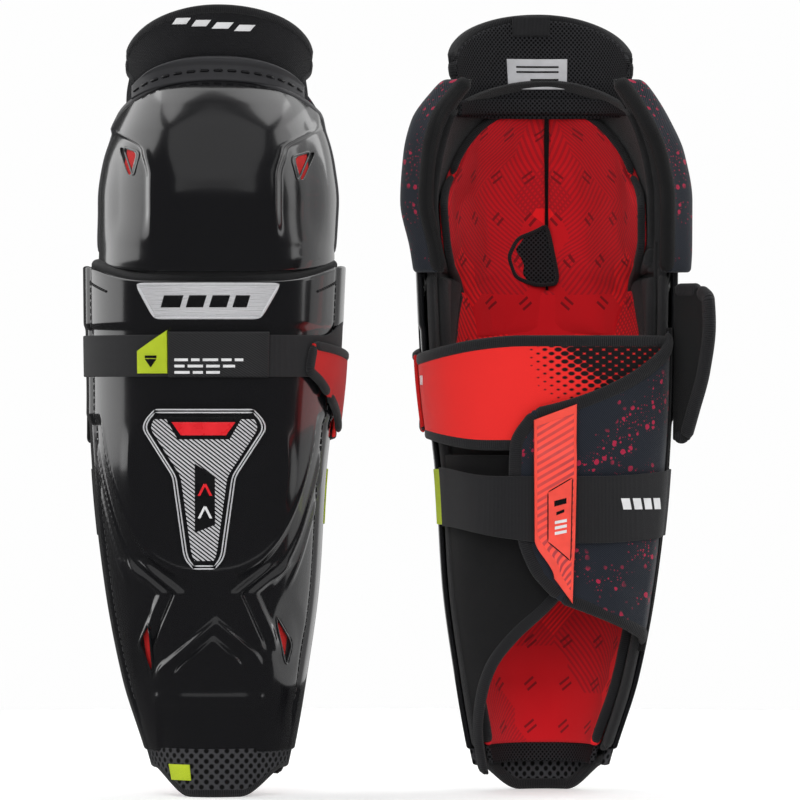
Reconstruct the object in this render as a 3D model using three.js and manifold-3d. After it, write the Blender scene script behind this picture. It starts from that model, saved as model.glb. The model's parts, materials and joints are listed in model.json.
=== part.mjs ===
// A pair of hockey shin guards, standing upright: one faces the front, its twin is turned to
// show its back. Each guard is a stack of curved sheets around one leg outline: a glossy shell
// outside, foam and liners inside, and straps, wraps and calf flaps around the back.
// Millimetres, +Z up. Each guard is modelled round its own leg axis, with its front towards -Y,
// its inner side (towards the other leg) at +X and its outer side at -X.
import * as THREE from "three";
import { mergeVertices } from "three/addons/utils/BufferGeometryUtils.js";
import Module from "manifold-3d";

const wasm = await Module();
wasm.setup();

// ---- Overall sizes ----
const shinLength = 333; // floor to the ears of the shin shell
const shinWidth = 162; // widest part of the shin shell
const shinDepth = 84; // leg axis to the front of the shin shell
const calfDepth = 52; // leg axis to the back of the calf
const kneeHeight = 122; // bottom to top edge of the knee shell
const kneeWidth = 152; // widest part of the knee shell
const kneeDepth = 94; // leg axis to the front of the knee shell
const pairSpacing = 211; // between the two leg axes

// ---- Wall and cloth thicknesses ----
const layerGap = 1.2; // clear distance between neighbouring layers
const shellWall = 3;
const foamThickness = 5.5;
const linerThickness = 4.5;
const kneeLinerThickness = 6.5;
const meshThickness = 0.8;
const elasticThickness = 1.6;
const wrapThickness = 2.5;
const flapThickness = 3;
const keeperThickness = 2.5;
const wingThickness = 3;
const outerWingThickness = 5;
const plateThickness = 1.5;
const cuffThickness = 5;
const shieldRaise = 3.5; // how far the central shield stands out of the shin shell

// ---- Trim, straps and panels: heights and widths of their own ----
const shellBottom = 28;
const edgeGap = 2.5; // between the edges of pieces that meet in one layer
const kneeClearance = 5; // between the shin shell's top edge and the knee shell's bottom edge
const rimHeight = 11;
const flapHeight = 30;
const kneeRollHeight = 9;
const nameplateHeight = 21;
const frontStrapWidth = 26;
const frontStrapDrop = 44; // from the ears of the shin shell to the strap's top edge
const badgeHeight = 97;
const badgeDrop = 90;
const wrapHeight = 70;
const wrapDrop = 45;
const lowerStrapWidth = 44;
const lowerStrapDrop = 13; // from the wrap's bottom edge to the lower strap's top edge
const wingBottom = 12;
const linerBottom = 20;
const ventHeight = 36;
const hangLoopWidth = 28;
const outerWingLength = 36;

// The guard shown from behind lies a little more open than its twin.
const openPadSpread = 24; // degrees
const openWingSpread = 32;

// ---- Heights that follow from them ----
const shinTop = shinLength - 10; // the shin shell's top edge at its middle
const kneeBase = shinTop + kneeClearance;
const kneeTop = kneeBase + kneeHeight;
const rimTop = kneeTop + edgeGap + rimHeight;
const flapTop = rimTop + edgeGap + flapHeight;
const wrapTop = shinLength - wrapDrop;
const wrapBottom = wrapTop - wrapHeight;
const lowerStrapTop = wrapBottom - lowerStrapDrop;
const lowerStrapBottom = lowerStrapTop - lowerStrapWidth;
const wingTop = wrapBottom - edgeGap - 3;
const frontStrapTop = shinLength - frontStrapDrop;
const frontStrapBottom = frontStrapTop - frontStrapWidth;

// ---- Layers: [inner, outer] distance from the shell's outer surface, outwards positive ----
const inside = ([low], thickness) => [low - layerGap - thickness, low - layerGap];
const outside = ([, high], thickness) => [high + layerGap, high + layerGap + thickness];
const shellLayer = [-shellWall, 0];
const foamLayer = inside(shellLayer, foamThickness);
const linerLayer = inside(foamLayer, linerThickness);
const kneeMeshLayer = inside(foamLayer, meshThickness);
const kneeLinerLayer = inside(kneeMeshLayer, kneeLinerThickness);
const cuffLayer = inside([0.3], cuffThickness);
const innerWingLayer = inside(shellLayer, wingThickness);
const strapLayer = outside(shellLayer, elasticThickness);
const wrapLayer = outside(shellLayer, wrapThickness);
const strapTrimLayer = outside(strapLayer, plateThickness);
const tabLayer = outside(strapLayer, wrapThickness);
const flapLayer = outside(wrapLayer, flapThickness);
const lowerStrapLayer = outside(flapLayer, elasticThickness);
const keeperLayer = outside(lowerStrapLayer, keeperThickness);
const outerWingLayer = outside(flapLayer, outerWingThickness);
const plateLayer = outside(shellLayer, plateThickness);
const badgeLayer = outside([0, shieldRaise], plateThickness);

const degrees = Math.PI / 180;
const mix = (a, b, t) => a + (b - a) * t;
const clamp = (x, low, high) => Math.min(Math.max(x, low), high);
const smooth = (x, low, high) => {
  const t = clamp((x - low) / (high - low), 0, 1);
  return t * t * (3 - 2 * t);
};

// A smooth curve through [place, value] rows that never swings past its rows.
function curve(rows) {
  const slopes = rows.slice(1).map(([x, y], i) => (y - rows[i][1]) / (x - rows[i][0]));
  const tangent = rows.map((_, i) => {
    const [before, after] = [slopes[i - 1] ?? slopes[i], slopes[i] ?? slopes[i - 1]];
    return before * after <= 0 ? 0 : (2 * before * after) / (before + after);
  });
  return (x) => {
    const at = clamp(x, rows[0][0], rows.at(-1)[0]);
    const i = clamp(rows.findIndex(([place]) => place >= at), 1, rows.length - 1);
    const [[x0, y0], [x1, y1]] = [rows[i - 1], rows[i]];
    const [span, t] = [x1 - x0, (at - x0) / (x1 - x0)];
    const [t2, t3] = [t * t, t * t * t];
    return (
      y0 * (2 * t3 - 3 * t2 + 1) +
      y1 * (3 * t2 - 2 * t3) +
      span * (tangent[i - 1] * (t3 - 2 * t2 + t) + tangent[i] * (t3 - t2))
    );
  };
}

// ---- Leg outlines ----
// An outline is two half ellipses at each height: its outer and inner half widths, and how far
// it reaches to the front and to the back.
function outline(base, height, halfWidth, depth, rows) {
  const column = (n) => curve(rows.map((row) => [row[0], row[n]]));
  const [outer, inner, front, back] = [1, 2, 3, 4].map(column);
  return (z) => {
    const f = (z - base) / height;
    return {
      outer: outer(f) * halfWidth,
      inner: inner(f) * halfWidth,
      front: front(f) * depth,
      back: back(f) * calfDepth,
    };
  };
}

// rows: share of the height, then shares of the half width, the depth and the calf depth
const shin = outline(0, shinLength, shinWidth / 2, shinDepth, [
  [0, 0.44, 0.54, 0.64, 0.5],
  [0.08, 0.53, 0.62, 0.68, 0.56],
  [0.22, 0.71, 0.72, 0.75, 0.68],
  [0.4, 0.85, 0.82, 0.84, 0.82],
  [0.6, 0.94, 0.87, 0.92, 0.94],
  [0.8, 0.98, 0.96, 0.96, 1],
  [1, 0.99, 1, 1, 1],
]);
const knee = outline(kneeBase, kneeHeight, kneeWidth / 2, kneeDepth, [
  [0, 0.93, 0.98, 0.9, 0.96],
  [0.2, 0.96, 1.02, 0.96, 0.98],
  [0.38, 0.96, 1.04, 1, 1],
  [0.55, 0.93, 1.01, 0.97, 0.98],
  [0.72, 0.86, 0.95, 0.88, 0.94],
  [0.86, 0.76, 0.86, 0.76, 0.88],
  [1, 0.62, 0.7, 0.61, 0.8],
]);
const thigh = outline(kneeTop, flapTop - kneeTop, kneeWidth / 2, kneeDepth, [
  [0, 0.8, 0.86, 0.62, 0.8],
  [1, 0.84, 0.94, 0.68, 0.8],
]);

// The point on an outline at an angle (0 at the front, 90 at the inner side, 180 at the back,
// 270 or -90 at the outer side), moved outwards along the outline's own normal.
function legPoint(legOutline, angle, z, offset) {
  const at = legOutline(z);
  const [s, c] = [Math.sin(angle * degrees), Math.cos(angle * degrees)];
  const width = s > 0 ? at.inner : at.outer;
  const depth = c > 0 ? at.front : at.back;
  const normal = [s * depth, -c * width];
  const length = Math.hypot(...normal);
  return [
    width * s + (normal[0] / length) * offset,
    -depth * c + (normal[1] / length) * offset,
    z,
  ];
}

// ---- Solids ----
// A closed sheet over the unit square: place(u, v, side) is its point, with side 0 inside and
// 1 outside.
function sheet(place, columns, rows) {
  const [positions, faces] = [[], []];
  const vertex = (i, j, side) => (side * (rows + 1) + j) * (columns + 1) + i;
  for (const side of [0, 1])
    for (let j = 0; j <= rows; j++)
      for (let i = 0; i <= columns; i++) positions.push(...place(i / columns, j / rows, side));
  const quad = (a, b, c, d) => faces.push(a, b, c, a, c, d);
  for (let j = 0; j < rows; j++)
    for (let i = 0; i < columns; i++) {
      const corners = (side) => [
        vertex(i, j, side),
        vertex(i + 1, j, side),
        vertex(i + 1, j + 1, side),
        vertex(i, j + 1, side),
      ];
      quad(...corners(1));
      quad(...corners(0).reverse());
    }
  const wall = (a, b, c, d) => quad(vertex(...a), vertex(...b), vertex(...c), vertex(...d));
  for (let i = 0; i < columns; i++) {
    wall([i, 0, 0], [i + 1, 0, 0], [i + 1, 0, 1], [i, 0, 1]);
    wall([i, rows, 1], [i + 1, rows, 1], [i + 1, rows, 0], [i, rows, 0]);
  }
  for (let j = 0; j < rows; j++) {
    wall([0, j, 0], [0, j, 1], [0, j + 1, 1], [0, j + 1, 0]);
    wall([columns, j, 1], [columns, j, 0], [columns, j + 1, 0], [columns, j + 1, 1]);
  }
  const geometry = new THREE.BufferGeometry();
  geometry.setAttribute("position", new THREE.Float32BufferAttribute(positions, 3));
  geometry.setIndex(faces);
  return facingOut(geometry);
}

// Turns a closed geometry's faces round if they point inwards, as on a sheet laid out from
// right to left.
function facingOut(geometry) {
  const index = geometry.index.array;
  const corner = (i) => new THREE.Vector3().fromBufferAttribute(geometry.attributes.position, i);
  let volume = 0;
  for (let i = 0; i < index.length; i += 3) {
    const [a, b, c] = [corner(index[i]), corner(index[i + 1]), corner(index[i + 2])];
    volume += a.dot(b.cross(c)) / 6;
  }
  if (volume < 0)
    for (let i = 0; i < index.length; i += 3)
      [index[i + 1], index[i + 2]] = [index[i + 2], index[i + 1]];
  return geometry;
}

const steady = (value) => (typeof value === "function" ? value : () => value);

// A sheet that lies on an outline between four edges: start and end are its angles as a share
// of the way up, bottom and top its heights as a share of the way across, and layer its
// [inner, outer] distance from the outline, which may change over the sheet.
function panel(legOutline, { start, end, bottom, top, layer, columns, rows }) {
  const [startAt, endAt, bottomAt, topAt] = [start, end, bottom, top].map(steady);
  return sheet(
    (u, v, side) => {
      const angle = mix(startAt(v), endAt(v), u);
      const z = mix(bottomAt(u), topAt(u), v);
      const [low, high] = typeof layer === "function" ? layer(u, v, angle, z) : layer;
      return legPoint(legOutline, angle, z, side ? high : low);
    },
    columns,
    rows,
  );
}

function solid(geometry) {
  const bare = geometry.clone();
  bare.deleteAttribute("normal");
  bare.deleteAttribute("uv");
  const merged = mergeVertices(bare, 1e-4);
  return new wasm.Manifold(
    new wasm.Mesh({
      numProp: 3,
      vertProperties: new Float32Array(merged.attributes.position.array),
      triVerts: new Uint32Array(merged.index.array),
    }),
  );
}

function cut(geometry, cutters) {
  const mesh = cutters.reduce((left, c) => left.subtract(solid(c)), solid(geometry)).getMesh();
  const result = new THREE.BufferGeometry();
  result.setAttribute("position", new THREE.BufferAttribute(mesh.vertProperties, 3));
  result.setIndex(new THREE.BufferAttribute(mesh.triVerts, 1));
  return result;
}

// A prism that runs from the front of the guard back to the leg axis, over an outline of
// [x, z] points.
function frontPrism(points) {
  const shape = new THREE.Shape(points.map(([x, z]) => new THREE.Vector2(x, z)));
  const length = 2 * Math.max(shinDepth, kneeDepth);
  const prism = new THREE.ExtrudeGeometry(shape, { depth: length, bevelEnabled: false });
  return prism.rotateX(90 * degrees).translate(0, -10, 0);
}

// ---- The leg's angle at a share of the half width, seen from the front or from behind ----
const frontAngle = (share) => Math.asin(clamp(share, -1, 1)) / degrees;
const backAngle = (share) => 180 - frontAngle(share);

// ---- Shells and hard trim ----
const shellEdge = 97; // angle of the shell's side edges
const shinShellTop = (u) => mix(shinTop, shinLength, Math.abs(2 * u - 1) ** 4);
const kneeShellBottom = (u) => mix(kneeBase, kneeBase + 9, Math.abs(2 * u - 1) ** 3);
const kneeShellTop = (u) => mix(kneeTop, kneeTop - 24, Math.abs(2 * u - 1) ** 2);

// The central shield of the shin shell: a flat-topped rise between two slanting sides.
function shieldRelief(angle, z) {
  const up = z / shinLength;
  const halfAngle = mix(12, 36, smooth(up, 0.42, 0.7));
  const across = 1 - smooth(Math.abs(angle), halfAngle, halfAngle + 12);
  return shieldRaise * across * smooth(up, 0.38, 0.44) * (1 - smooth(up, 0.66, 0.71));
}

function shinShell() {
  const shell = panel(shin, {
    start: -shellEdge,
    end: shellEdge,
    bottom: shellBottom,
    top: shinShellTop,
    layer: (u, v, angle, z) => [-shellWall, shieldRelief(angle, z)],
    columns: 16,
    rows: 11,
  });
  const vent = (side) => {
    const edge = side * (side > 0 ? shin(95).inner : shin(95).outer);
    const bottom = shellBottom + 47;
    return frontPrism(
      [
        [edge * 0.62, bottom],
        [edge * 0.8, bottom + ventHeight * 0.62],
        [edge * 0.64, bottom + ventHeight],
      ].sort(([, a], [, b]) => side * (a - b)),
    );
  };
  return cut(shell, [vent(-1), vent(1)]);
}

function kneeShell() {
  const shell = panel(knee, {
    start: -86,
    end: 86,
    bottom: kneeShellBottom,
    top: kneeShellTop,
    layer: shellLayer,
    columns: 14,
    rows: 8,
  });
  const vent = (side) => {
    const edge = (side * kneeWidth) / 2;
    const bottom = kneeBase + kneeHeight * 0.48;
    return frontPrism(
      [
        [edge * 0.72, bottom],
        [edge * 0.88, bottom + 20],
        [edge * 0.66, bottom + 20],
      ].sort(([a], [b]) => a - b),
    );
  };
  return cut(shell, [vent(-1), vent(1)]);
}

function nameplate() {
  return panel(shin, {
    start: (v) => -mix(25, 34, v),
    end: (v) => mix(22, 31, v),
    bottom: shinTop - edgeGap - nameplateHeight,
    top: shinTop - edgeGap,
    layer: plateLayer,
    columns: 5,
    rows: 1,
  });
}

function badge() {
  const halfAngle = curve([
    [0, 8],
    [0.58, 14],
    [0.9, 29],
    [1, 24],
  ]);
  const top = shinLength - badgeDrop;
  return panel(shin, {
    start: (v) => -2.5 - halfAngle(v),
    end: (v) => -2.5 + halfAngle(v),
    bottom: top - badgeHeight,
    top,
    layer: badgeLayer,
    columns: 4,
    rows: 5,
  });
}

// ---- Padding and liners ----
function shinFoam() {
  return panel(shin, {
    start: -103,
    end: 103,
    bottom: shellBottom,
    top: (u) => shinShellTop(u) - edgeGap,
    layer: foamLayer,
    columns: 15,
    rows: 6,
  });
}

function shinLiner() {
  return panel(shin, {
    start: -100,
    end: 100,
    bottom: linerBottom,
    top: shinTop - 2 * edgeGap,
    layer: linerLayer,
    columns: 15,
    rows: 6,
  });
}

function ankleCuff() {
  const rise = (u) => 17 * smooth(Math.abs(2 * u - 1), 0.3, 0.8);
  return panel(shin, {
    start: -84,
    end: 84,
    bottom: rise,
    top: shellBottom - edgeGap,
    layer: cuffLayer,
    columns: 14,
    rows: 2,
  });
}

function kneeFoam() {
  return panel(knee, {
    start: -95,
    end: 95,
    bottom: (u) => kneeShellBottom(u) + kneeRollHeight,
    top: (u) => kneeShellTop(u) - edgeGap,
    layer: foamLayer,
    columns: 14,
    rows: 7,
  });
}

// The teardrop opening of the knee liner, which shows the mesh behind it.
const teardrop = { x: 9, z: kneeBase + 12, radius: 14, tip: 34 };

function kneeLiner(side) {
  const top = (u) => mix(kneeTop - 17, kneeTop - 66, u ** 2.4);
  const half = panel(knee, {
    start: side * 2,
    end: side * 94,
    bottom: (u) => kneeBase + 4 + 6 * u,
    top,
    layer: kneeLinerLayer,
    columns: 7,
    rows: 7,
  });
  if (side < 0) return half;
  const { x, z, radius, tip } = teardrop;
  const points = Array.from({ length: 11 }, (_, i) => {
    const turn = (150 + i * 24) * degrees;
    return [x + radius * Math.cos(turn), z + radius * Math.sin(turn)];
  });
  return cut(half, [frontPrism([[x - radius * 0.7, z + tip * 0.8], ...points])]);
}

function patellaMesh() {
  return panel(knee, {
    start: -12,
    end: 30,
    bottom: kneeBase + kneeRollHeight + 1,
    top: kneeBase + 46,
    layer: kneeMeshLayer,
    columns: 4,
    rows: 3,
  });
}

function kneePad(side) {
  const reach = curve([
    [0, 0.72],
    [0.35, 1],
    [0.7, 0.9],
    [1, 0.4],
  ]);
  return panel(knee, {
    start: side * 97,
    end: (v) => side * (97 + 24 * reach(v)),
    bottom: kneeBase + 12,
    top: kneeTop - 30,
    layer: [foamLayer[0] - 4, -0.5],
    columns: 4,
    rows: 7,
  });
}

function kneeRoll() {
  return panel(knee, {
    start: -95,
    end: 95,
    bottom: (u) => kneeShellBottom(u) - kneeClearance + 1.5,
    top: (u) => kneeShellBottom(u) + kneeRollHeight - edgeGap,
    layer: foamLayer,
    columns: 14,
    rows: 1,
  });
}

function rimBand() {
  return panel(thigh, {
    start: -74,
    end: 74,
    bottom: (u) => mix(kneeTop + edgeGap, kneeTop - 15, Math.abs(2 * u - 1) ** 2),
    top: (u) => mix(rimTop, rimTop - 19, Math.abs(2 * u - 1) ** 2),
    layer: [-5, 0],
    columns: 12,
    rows: 1,
  });
}

function thighFlap() {
  return panel(thigh, {
    start: -76,
    end: 76,
    bottom: (u) => mix(rimTop + edgeGap, rimTop - 16, Math.abs(2 * u - 1) ** 2),
    top: (u) => mix(flapTop, flapTop - 32, Math.abs(2 * u - 1) ** 3.4),
    layer: [-5, 0],
    columns: 12,
    rows: 3,
  });
}

function hangLoop() {
  const half = hangLoopWidth / 2 / (kneeWidth / 2);
  return panel(thigh, {
    start: frontAngle(0.1 - half),
    end: frontAngle(0.1 + half),
    bottom: flapTop - 12,
    top: flapTop + 2,
    layer: inside([-5], 2),
    columns: 2,
    rows: 1,
  });
}

// ---- Straps and wraps ----
const wrapHinge = backAngle(0.36); // where the free part of the calf wrap starts
const tabStart = 45;
const tabEnd = 84;

function frontStrap() {
  const lift = (u) => 9 * smooth(u, 0.86, 1);
  return panel(shin, {
    start: -shellEdge,
    end: 82,
    bottom: (u) => frontStrapBottom + lift(u),
    top: (u) => frontStrapTop + lift(u),
    layer: strapLayer,
    columns: 14,
    rows: 1,
  });
}

function strapTag() {
  return panel(shin, {
    start: -34,
    end: -20.5,
    bottom: frontStrapBottom + 2,
    top: (u) => frontStrapBottom + 16 + 13 * u,
    layer: strapTrimLayer,
    columns: 2,
    rows: 1,
  });
}

function strapPatch() {
  return panel(shin, {
    start: -18,
    end: 26,
    bottom: frontStrapBottom,
    top: frontStrapTop + 2,
    layer: strapTrimLayer,
    columns: 4,
    rows: 1,
  });
}

function hookTab() {
  return panel(shin, {
    start: (v) => tabStart + 8 * (1 - v),
    end: tabEnd,
    bottom: (u) => frontStrapBottom - 16 - 18 * u,
    top: (u) => frontStrapTop - 5 - 4 * u,
    layer: tabLayer,
    columns: 4,
    rows: 3,
  });
}

// The wrap's edges dip towards its front end.
const wrapTopAt = (angle) => wrapTop - 11 * (1 - smooth(angle, 90, 170));
const wrapBottomAt = (angle) => wrapBottom + 7 * (1 - smooth(angle, 90, 150));

function wrapPart(start, end, columns) {
  return panel(shin, {
    start,
    end,
    bottom: (u) => wrapBottomAt(mix(start, end, u)),
    top: (u) => wrapTopAt(mix(start, end, u)),
    layer: wrapLayer,
    columns,
    rows: 2,
  });
}

const calfRoot = 261; // angle of the seam that the calf flap swings on
const flapTopOuter = wrapTop + 4;
const flapTopFree = lowerStrapTop + 37;
const flapBottomFree = lowerStrapBottom - 38;
const flapBottomOuter = lowerStrapBottom - 67;
const flapEdge = curve([
  [0, backAngle(-0.08)],
  [0.16, backAngle(0.15)],
  [0.32, backAngle(0.25)],
  [0.6, backAngle(0.32)],
  [0.82, backAngle(0.3)],
  [1, backAngle(0.13)],
]);

function calfFlap() {
  return panel(shin, {
    start: flapEdge,
    end: calfRoot,
    bottom: (u) => mix(flapBottomFree, flapBottomOuter, u),
    top: (u) => mix(flapTopFree, flapTopOuter, 0.35 * u + 0.65 * u ** 1.8),
    layer: flapLayer,
    columns: 9,
    rows: 7,
  });
}

function strapKeeper() {
  const bulge = (z) =>
    smooth(z, lowerStrapBottom - 18, lowerStrapBottom - 6) *
    (1 - smooth(z, lowerStrapTop + 6, lowerStrapTop + 18));
  const overStrap = keeperLayer[0] - flapLayer[1] - layerGap;
  return panel(shin, {
    start: (v) => mix(backAngle(-0.04), backAngle(0.12), smooth(v, 0, 0.25)),
    end: backAngle(-0.2),
    bottom: (u) => mix(flapBottomFree + 14, flapBottomFree - 2, u),
    top: (u) => flapTopFree - 6 + 10 * u,
    layer: (u, v, angle, z) =>
      keeperLayer.map((offset) => offset - overStrap * (1 - bulge(z))),
    columns: 2,
    rows: 10,
  });
}

// Past the flap's free edge the lower strap comes down to the shell's edge.
const lowerStrapAt = (angle) => {
  const low = mix(wrapLayer[0], lowerStrapLayer[0], smooth(angle, 118, 156));
  return [low, low + elasticThickness];
};

function lowerStrap() {
  return panel(shin, {
    start: 112,
    end: calfRoot,
    bottom: (u) => lowerStrapBottom + 8 - 10 * smooth(u, 0, 0.5) + 4 * smooth(u, 0.6, 1),
    top: (u) => lowerStrapTop + 1 - 5 * smooth(u, 0, 0.3) + 4 * smooth(u, 0.6, 1),
    layer: (u, v, angle) => lowerStrapAt(angle),
    columns: 13,
    rows: 1,
  });
}

function lowerStrapTag() {
  return panel(shin, {
    start: 101,
    end: 110.5,
    bottom: lowerStrapBottom + 9,
    top: lowerStrapTop,
    layer: outside([0, -0.6], elasticThickness),
    columns: 1,
    rows: 1,
  });
}

function innerWing() {
  const edge = curve([
    [0, 114],
    [0.1, 116],
    [0.23, backAngle(0.78)],
    [0.33, backAngle(0.62)],
    [0.43, backAngle(0.33)],
    [0.53, backAngle(-0.03)],
    [0.65, backAngle(-0.3)],
    [1, backAngle(-0.42)],
  ]);
  return panel(shin, {
    start: 106,
    end: edge,
    bottom: wingBottom,
    top: wingTop,
    layer: innerWingLayer,
    columns: 7,
    rows: 8,
  });
}

// The outer wing carries on backwards from the calf flap's root, outside the flap.
function outerWing() {
  const length = curve([
    [0, 0.36],
    [0.25, 0.68],
    [0.72, 1],
    [0.9, 0.84],
    [1, 0.42],
  ]);
  const bottom = wrapBottom + 5;
  const top = shinLength - 7;
  const middle = shin(mix(bottom, top, 0.5));
  return sheet(
    (u, v, side) => {
      const along = outerWingLength * length(v) * u;
      const thickness = outerWingLayer[0] + side * outerWingThickness;
      const bend = 0.006 * along ** 2;
      return [-middle.outer - thickness + bend, 12 + along, mix(bottom, top, v)];
    },
    4,
    6,
  );
}

// ---- Hinge lines, as two points each, bottom first ----
const lineAt = (angle, offset, low, high) =>
  [low, high].map((z) => new THREE.Vector3(...legPoint(shin, angle, z, offset)));
const upright = ([low, high]) => [low, new THREE.Vector3(low.x, low.y, high.z)];
const acrossAt = (y, z) => [new THREE.Vector3(-50, y, z), new THREE.Vector3(50, y, z)];
const wingLine = (() => {
  const at = shin(mix(wrapBottom + 5, shinLength - 7, 0.5));
  const x = -at.outer - outerWingLayer[0];
  return [new THREE.Vector3(x, 10.5, wrapBottom), new THREE.Vector3(x, 10.5, shinLength)];
})();
const hinges = {
  knee: acrossAt(22, kneeBase - 8),
  thigh: acrossAt(-thigh(rimTop).front - 1, rimTop + 1),
  calf: lineAt(calfRoot, wrapLayer[1] + 0.4, flapBottomOuter, flapTopOuter),
  wrap: upright(lineAt(wrapHinge, wrapLayer[1] + 0.2, wrapBottom, wrapTop)),
  tab: upright(lineAt(tabEnd + 1.5, tabLayer[1], wrapBottom, wrapTop)),
  innerWing: lineAt(104.5, innerWingLayer[1], wingBottom, wingTop),
  outerWing: wingLine,
};

// Turns a geometry about an upright line, outwards for a positive angle on the outer side.
function spread(geometry, [pivot], angle) {
  return geometry
    .translate(-pivot.x, -pivot.y, 0)
    .rotateZ(angle * degrees)
    .translate(pivot.x, pivot.y, 0);
}

// ---- Materials ----
const finish = (color, roughness, metalness = 0) =>
  new THREE.MeshStandardMaterial({ color, roughness, metalness });
const finishes = {
  gloss: () => finish(0x0b0b0d, 0.08),
  silver: () => finish(0xb4b6ba, 0.3, 0.9),
  foam: () => finish(0x161618, 0.85),
  red: () => finish(0xd6181f, 0.75),
  black: () => finish(0x101012, 0.8),
  neon: () => finish(0xc8e81e, 0.6),
  rubber: () => finish(0x151517, 0.5),
  print: () => finish(0x20222b, 0.8),
  coral: () => finish(0xe2403c, 0.5),
};

// ---- One guard ----
function buildGuard(name, padSpread, wingSpread) {
  const guard = new THREE.Group();
  const add = (part, geometry, colour) => {
    const mesh = new THREE.Mesh(geometry, finishes[colour]());
    mesh.name = `${name}_${part}`;
    guard.add(mesh);
  };
  add("shin_shell", shinShell(), "gloss");
  add("nameplate", nameplate(), "silver");
  add("badge", badge(), "silver");
  add("shin_foam", shinFoam(), "foam");
  add("shin_liner", shinLiner(), "red");
  add("ankle_cuff", ankleCuff(), "foam");
  add("front_strap", frontStrap(), "black");
  add("strap_tag", strapTag(), "neon");
  add("strap_patch", strapPatch(), "rubber");
  add("hook_tab", hookTab(), "red");
  add("calf_wrap", wrapPart(tabEnd + 4, wrapHinge - 1, 6), "red");
  add("calf_wrap_anchor", wrapPart(wrapHinge + 1, calfRoot - 3, 8), "red");
  add("calf_flap", calfFlap(), "print");
  add("strap_keeper", strapKeeper(), "coral");
  add("lower_strap", lowerStrap(), "black");
  add("lower_strap_tag", lowerStrapTag(), "neon");
  add("inner_wing", innerWing(), "black");
  add("outer_wing", spread(outerWing(), hinges.outerWing, wingSpread), "black");

  add("knee_shell", kneeShell(), "gloss");
  add("knee_foam", kneeFoam(), "foam");
  add("knee_liner_inner", kneeLiner(1), "red");
  add("knee_liner_outer", kneeLiner(-1), "red");
  add("patella_mesh", patellaMesh(), "black");
  for (const [part, side] of [["knee_pad_inner", 1], ["knee_pad_outer", -1]]) {
    const pivot = new THREE.Vector3(...legPoint(knee, side * 97, mix(kneeBase, kneeTop, 0.4), 0));
    add(part, spread(kneePad(side), [pivot], -side * padSpread), "print");
  }
  add("knee_roll", kneeRoll(), "foam");
  add("rim_band", rimBand(), "foam");
  add("thigh_flap", thighFlap(), "black");
  add("hang_loop", hangLoop(), "black");
  return guard;
}

const pair = new THREE.Group();
const frontGuard = buildGuard("guard_a", 0, 0);
const backGuard = buildGuard("guard_b", openPadSpread, openWingSpread);
frontGuard.position.x = -pairSpacing / 2;
backGuard.position.x = pairSpacing / 2;
backGuard.rotation.z = Math.PI;
pair.add(frontGuard, backGuard);

// The pair stands centred over the origin.
pair.updateMatrixWorld(true);
const box = new THREE.Box3().setFromObject(pair);
const middle = box.getCenter(new THREE.Vector3());
for (const guard of [frontGuard, backGuard]) {
  guard.position.x -= middle.x;
  guard.position.y -= middle.y;
  guard.position.z -= box.min.z;
  guard.userData.hinges = hinges;
}

export default pair;
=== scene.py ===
# %% [markdown]
# # A pair of hockey shin guards
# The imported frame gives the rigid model: every shell, strap and flap as a plain solid on its
# own body. This lesson keeps that frame and builds the visible surfaces around it. A guard is
# a stack of curved sheets around one leg outline, so nearly every piece here is one formula,
# a point on the outline moved outwards, sampled on a grid with numpy.

import json
import math

import bmesh
import bpy
import numpy as np
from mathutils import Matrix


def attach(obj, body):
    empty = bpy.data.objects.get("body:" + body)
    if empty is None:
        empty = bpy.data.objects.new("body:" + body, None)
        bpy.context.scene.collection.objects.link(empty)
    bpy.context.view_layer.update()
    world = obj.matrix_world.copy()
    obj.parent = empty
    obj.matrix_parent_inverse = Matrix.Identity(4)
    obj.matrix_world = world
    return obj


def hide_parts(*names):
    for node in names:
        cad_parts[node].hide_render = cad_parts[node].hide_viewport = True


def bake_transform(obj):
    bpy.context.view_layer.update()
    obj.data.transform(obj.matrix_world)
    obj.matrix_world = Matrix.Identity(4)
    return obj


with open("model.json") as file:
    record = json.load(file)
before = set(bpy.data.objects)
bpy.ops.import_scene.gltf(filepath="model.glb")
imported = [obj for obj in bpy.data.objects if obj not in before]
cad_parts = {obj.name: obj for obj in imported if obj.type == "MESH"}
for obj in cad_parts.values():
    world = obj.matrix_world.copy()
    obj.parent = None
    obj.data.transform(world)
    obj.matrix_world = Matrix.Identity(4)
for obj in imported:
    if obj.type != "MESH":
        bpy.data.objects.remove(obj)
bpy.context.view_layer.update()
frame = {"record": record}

# %% [markdown]
# ## Where the two guards stand
# All shapes are worked out in one guard's own frame, in millimetres, with the leg axis at the
# origin and the front towards -Y. The second guard is the same thing turned half round, so its
# points only change sign in x and y. The foot mounts of the frame give both places.

# %% Guard places
mounts = {m["name"]: m["pos_m"] for m in frame["record"]["mounts"]}
GUARDS = {
    "guard_a": (mounts["guard_a_foot"][0] * 1000, 1),
    "guard_b": (mounts["guard_b_foot"][0] * 1000, -1),
}


def to_world(points, guard):
    """Guard-frame millimetres to row-frame metres: turn by 0 or 180 degrees, then shift in x."""
    x, sign = GUARDS[guard]
    return (points * [sign, sign, 1] + [x, 0, 0]) / 1000


print("guards at x =", {g: round(x, 1) for g, (x, _) in GUARDS.items()}, "mm")

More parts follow.
